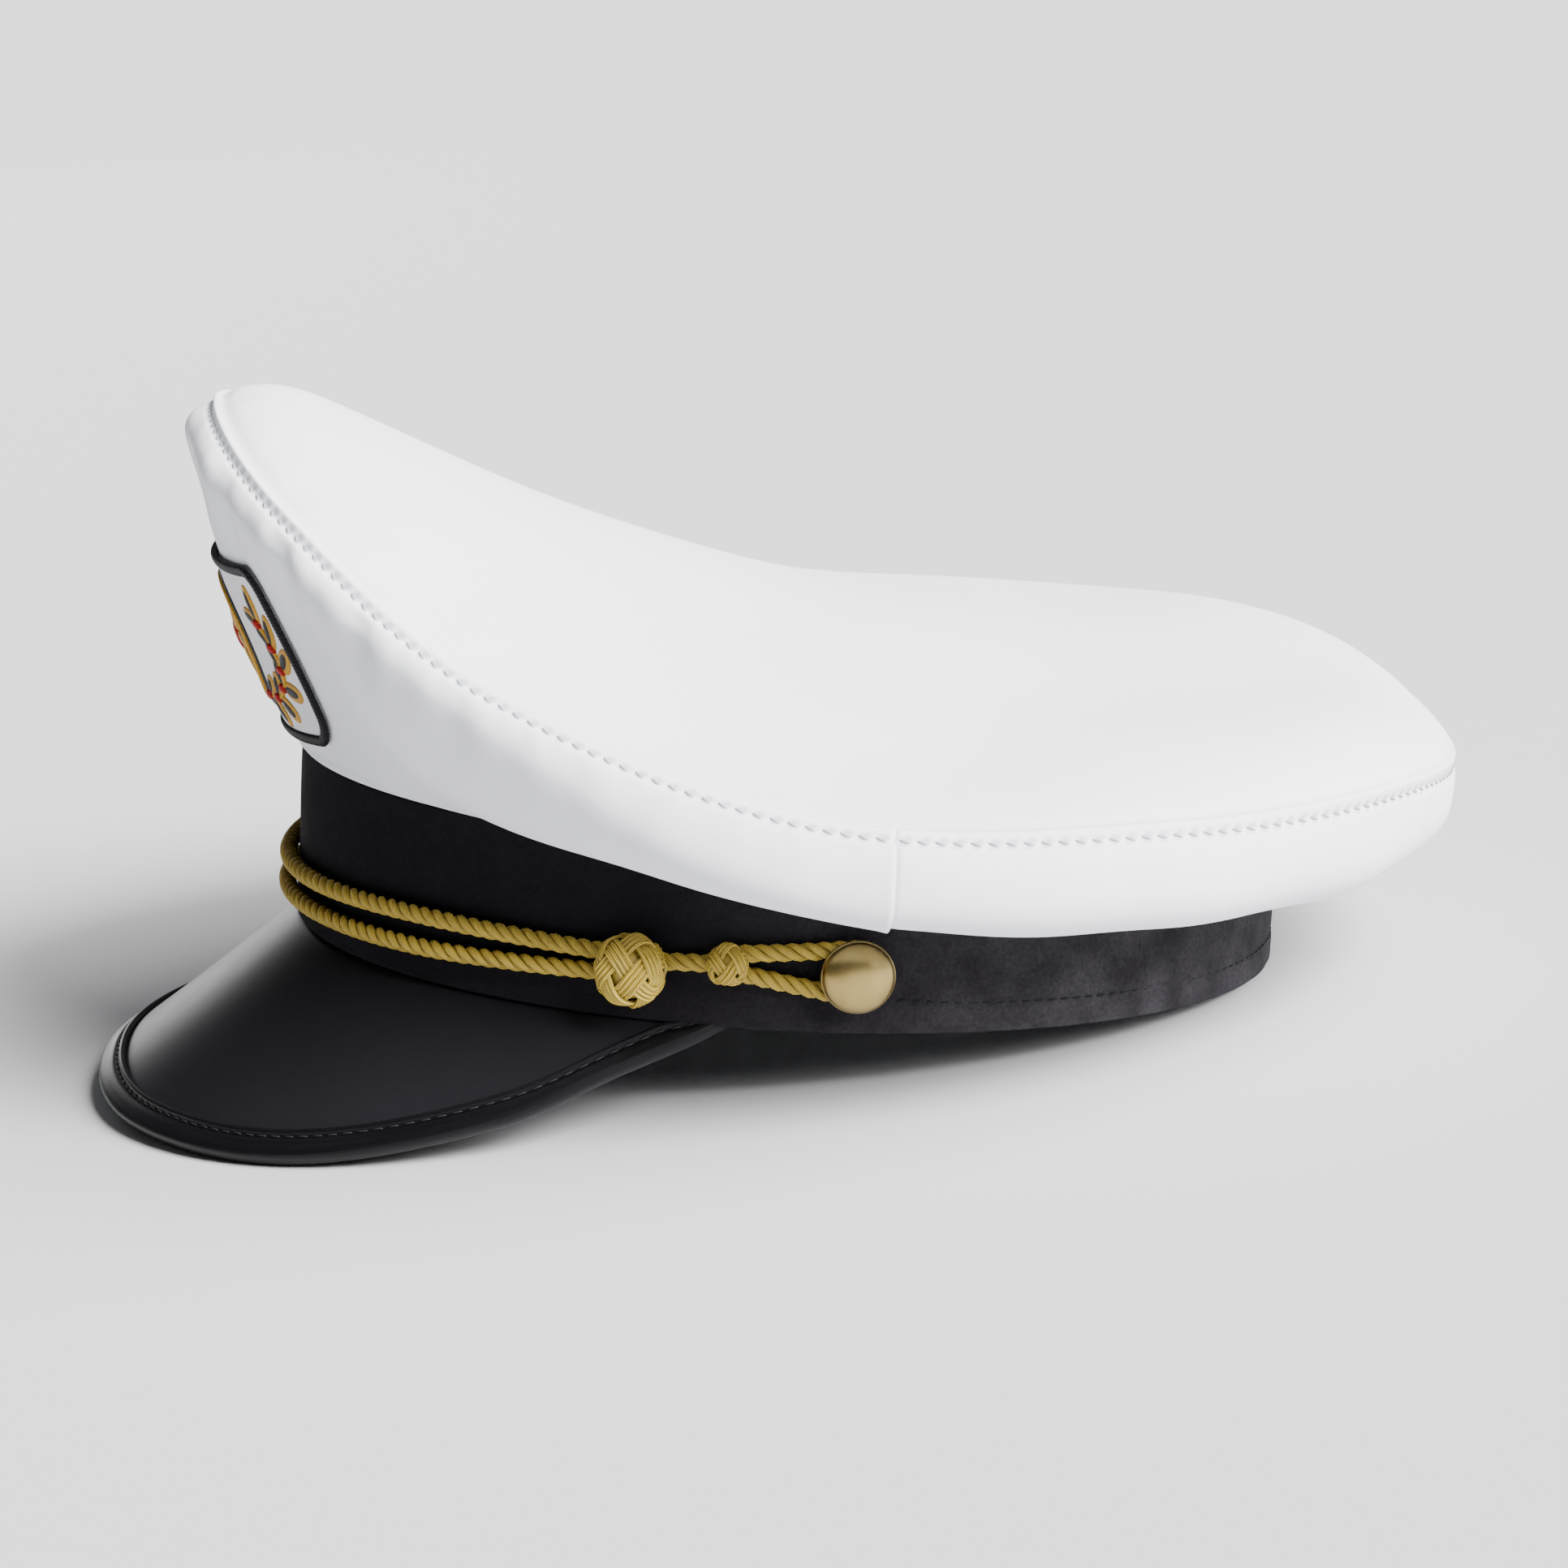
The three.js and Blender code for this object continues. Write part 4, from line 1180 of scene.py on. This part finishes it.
# %% Disc, star and sprays
def lens(across, up, direction, length, width, thick, base, pointed=0.75):
    """A leaf or dot as a closed lens: its half width is a power of the sine along it, and its
    section an oval, laid on the panel with its middle at base."""
    t, a = np.meshgrid(np.linspace(0, np.pi, 13), np.linspace(0, 2 * np.pi, 13), indexing="ij")
    swell = np.sin(t) ** pointed
    along, aside = -np.cos(t) * length / 2, swell * np.cos(a) * width / 2
    c, s = np.cos(direction), np.sin(direction)
    x, z = across + along * c - aside * s, up + along * s + aside * c
    grid = panel_point(x, BADGE_MIDDLE + z, base + swell * np.sin(a) * thick)
    return grid, np.stack([along + aside * 0.6, aside], -1)


def turned_flat(profile, reach=None):
    """A shape turned about the badge's middle: profile rows are (radius share, off)."""
    a = np.linspace(0, 2 * np.pi, 97)
    r = np.ones_like(a) if reach is None else reach(a)
    share, off = np.asarray(profile, float).T
    x, z = share[:, None] * r * np.sin(a), share[:, None] * r * np.cos(a)
    grid = panel_point(x, BADGE_MIDDLE + z, off[:, None] + 0 * a)
    return grid, np.stack([x, z], -1)


STAR_POINTS, STAR_REACH, STAR_WAIST = 8, 10.0, 4.2


def star_reach(a):
    """The star's outline: its radius falls evenly from each point to the next waist."""
    step = np.abs((a * STAR_POINTS / (2 * np.pi) + 0.5) % 1 - 0.5) * 2
    return STAR_REACH + (STAR_WAIST - STAR_REACH) * step


RIM_PROFILE = [(0, 0.8), (14.0, 0.8), (14.7, 1.15), (14.0, 1.45), (12, 1.5), (0, 1.5)]
DISC_PROFILE = [(0, 1.4), (12.3, 1.4), (12.3, 1.6), (9, 1.7), (0, 1.75)]
STAR_PROFILE = [(0, 1.6), (0.99, 1.65), (1, 1.95), (0.6, 2.3), (0.25, 2.55), (0, 2.6)]
HOOP_RADIUS, HOOP_OFF, HOOP_HALF_WIDTH, HOOP_HALF_THICK = 12.5, 1.6, 0.85, 0.5
HEART = {"length": 6.6, "width": 6.6, "thick": 0.8, "base": 2.3, "pointed": 0.5}
v = np.linspace(0, 2 * np.pi, 13)
hoop = [HOOP_RADIUS + HOOP_HALF_WIDTH * np.cos(v), HOOP_OFF + HOOP_HALF_THICK * np.sin(v)]
gather("badge_rim", [turned_flat(RIM_PROFILE)], BLACK_SATIN, "badge_black")
gather("badge_disc", [turned_flat(DISC_PROFILE)], TWILL, "badge_white")
gather("badge_hoop", [turned_flat(np.stack(hoop, -1))], GOLD_SATIN, "badge_gold")
star = turned_flat(STAR_PROFILE, star_reach)
gather("badge_star_gold", [star], GOLD_SATIN, "badge_gold", "badge_star")
gather("badge_heart", [lens(0, 0, 0.0, **HEART)], RED_SATIN, "badge_gold")

STEM = np.array([(12.5, -9.6), (21, -9.4), (29, -5.0), (30.5, 1.5), (27.5, 7.8)])
STEM_RADIUS, STEM_OFF = 0.5, 1.2
LEAVES_AT = range(4, 56, 10)
LEAF_PAIR = [(1, 7.2), (-1, 8.4)]  # side of the stem, length
LEAF_SPREAD, LEAF_REACH = 0.7, 0.48
LEAF_EDGE = {"thick": 0.5, "base": 1.15, "pointed": 0.9}
LEAF_BODY = {"thick": 0.66, "base": 1.2, "pointed": 0.9}
BERRY = {"length": 2.1, "width": 2.1, "thick": 0.8, "base": 1.55, "pointed": 0.5}
stem = refine(STEM, 60)
stem_run = heading(stem)
leaves, edges, berries, stems = [], [], [], []
for side in (1, -1):
    for k in LEAVES_AT:
        (x, z), (dx, dz) = stem[k], stem_run[k]
        for way, length in LEAF_PAIR:
            turn = np.arctan2(dz, dx) + way * LEAF_SPREAD
            reach = length * LEAF_REACH
            angle = turn if side > 0 else np.pi - turn
            spot = (side * (x + reach * np.cos(turn)), z + reach * np.sin(turn), angle)
            edges.append(lens(*spot, length, 0.5 * length, **LEAF_EDGE))
            leaves.append(lens(*spot, 0.78 * length, 0.32 * length, **LEAF_BODY))
        berries.append(lens(side * x, z, 0.0, **BERRY))
    line = stem * (side, 1)
    x, z = line[:, 0], BADGE_MIDDLE + line[:, 1]
    path = panel_point(x, z, STEM_OFF)
    stems.append(tube(path, panel_point(x, z, STEM_OFF + 1) - path, STEM_RADIUS, 8))
gather("badge_leaf_edges", edges + stems, GOLD_SATIN, "badge_gold")
gather("badge_leaves", leaves, BLACK_SATIN, "badge_black")
gather("badge_berries", berries, RED_SATIN, "badge_gold")

# %% [markdown]
# ## Studio
#
# A plain pale floor in a dim white room. The key light comes from behind the camera's right
# shoulder, so the front of the cap falls into soft shade. A broad light hangs above, and a low
# one from the right gives the button and the back of the band their gleam. All three are suns
# with a wide disc, which light the floor evenly as far as it shows and still cast soft
# shadows. A strip in front draws the highlight down the peak. None of it is the object.

# %% Floor and room
FLOOR_SIZE = 60.0

floor_mesh = bpy.data.meshes.new("floor")
half = FLOOR_SIZE / 2
corners = [(-half, -half, 0), (half, -half, 0), (half, half, 0), (-half, half, 0)]
floor_mesh.from_pydata(corners, [], [(0, 1, 2, 3)])
floor = bpy.data.objects.new("floor", floor_mesh)
bpy.context.scene.collection.objects.link(floor)
floor_look = Look("floor_paint", (0.56, 0.56, 0.57), Roughness=0.8)
floor.data.materials.append(floor_look.material)

world = bpy.data.worlds.new("room")
world.use_nodes = True
bpy.context.scene.world = world
room = world.node_tree.nodes["Background"]
room.inputs["Color"].default_value = (0.95, 0.97, 1.0, 1)
room.inputs["Strength"].default_value = 0.14


# %% Lights
CAP_MIDDLE = (0, 0, 0.06)


def add_light(name, kind, spot, strength):
    """A light at a spot, turned towards the cap: its own Z looks back from there."""
    lamp = bpy.data.lights.new(name, kind)
    lamp.energy = strength
    light = bpy.data.objects.new(name, lamp)
    bpy.context.scene.collection.objects.link(light)
    z = unit(np.array(spot) - CAP_MIDDLE)
    x = unit(np.cross([0, 0, 1.0], z))
    pose = np.eye(4)
    pose[:3, :3] = np.array([x, np.cross(z, x), z]).T
    pose[:3, 3] = spot
    light.matrix_world = Matrix(pose.tolist())
    return lamp


SUNS = [
    # name, where it stands, degrees across, strength
    ("key", (1.05, 1.0, 1.2), 28.0, 11.5),
    ("top", (0.1, 1.5, 1.6), 50.0, 4.5),
    ("side", (0.6, 0.69, 0.41), 16.0, 2.6),
]
for name, spot, across, strength in SUNS:
    add_light(name, "SUN", spot, strength).angle = np.radians(across)
strip = add_light("peak_strip", "AREA", (-1.6, -0.62, 0.22), 2.0)
strip.shape, strip.size, strip.size_y = "RECTANGLE", 0.3, 0.5
print("lights:", len(SUNS) + 1)
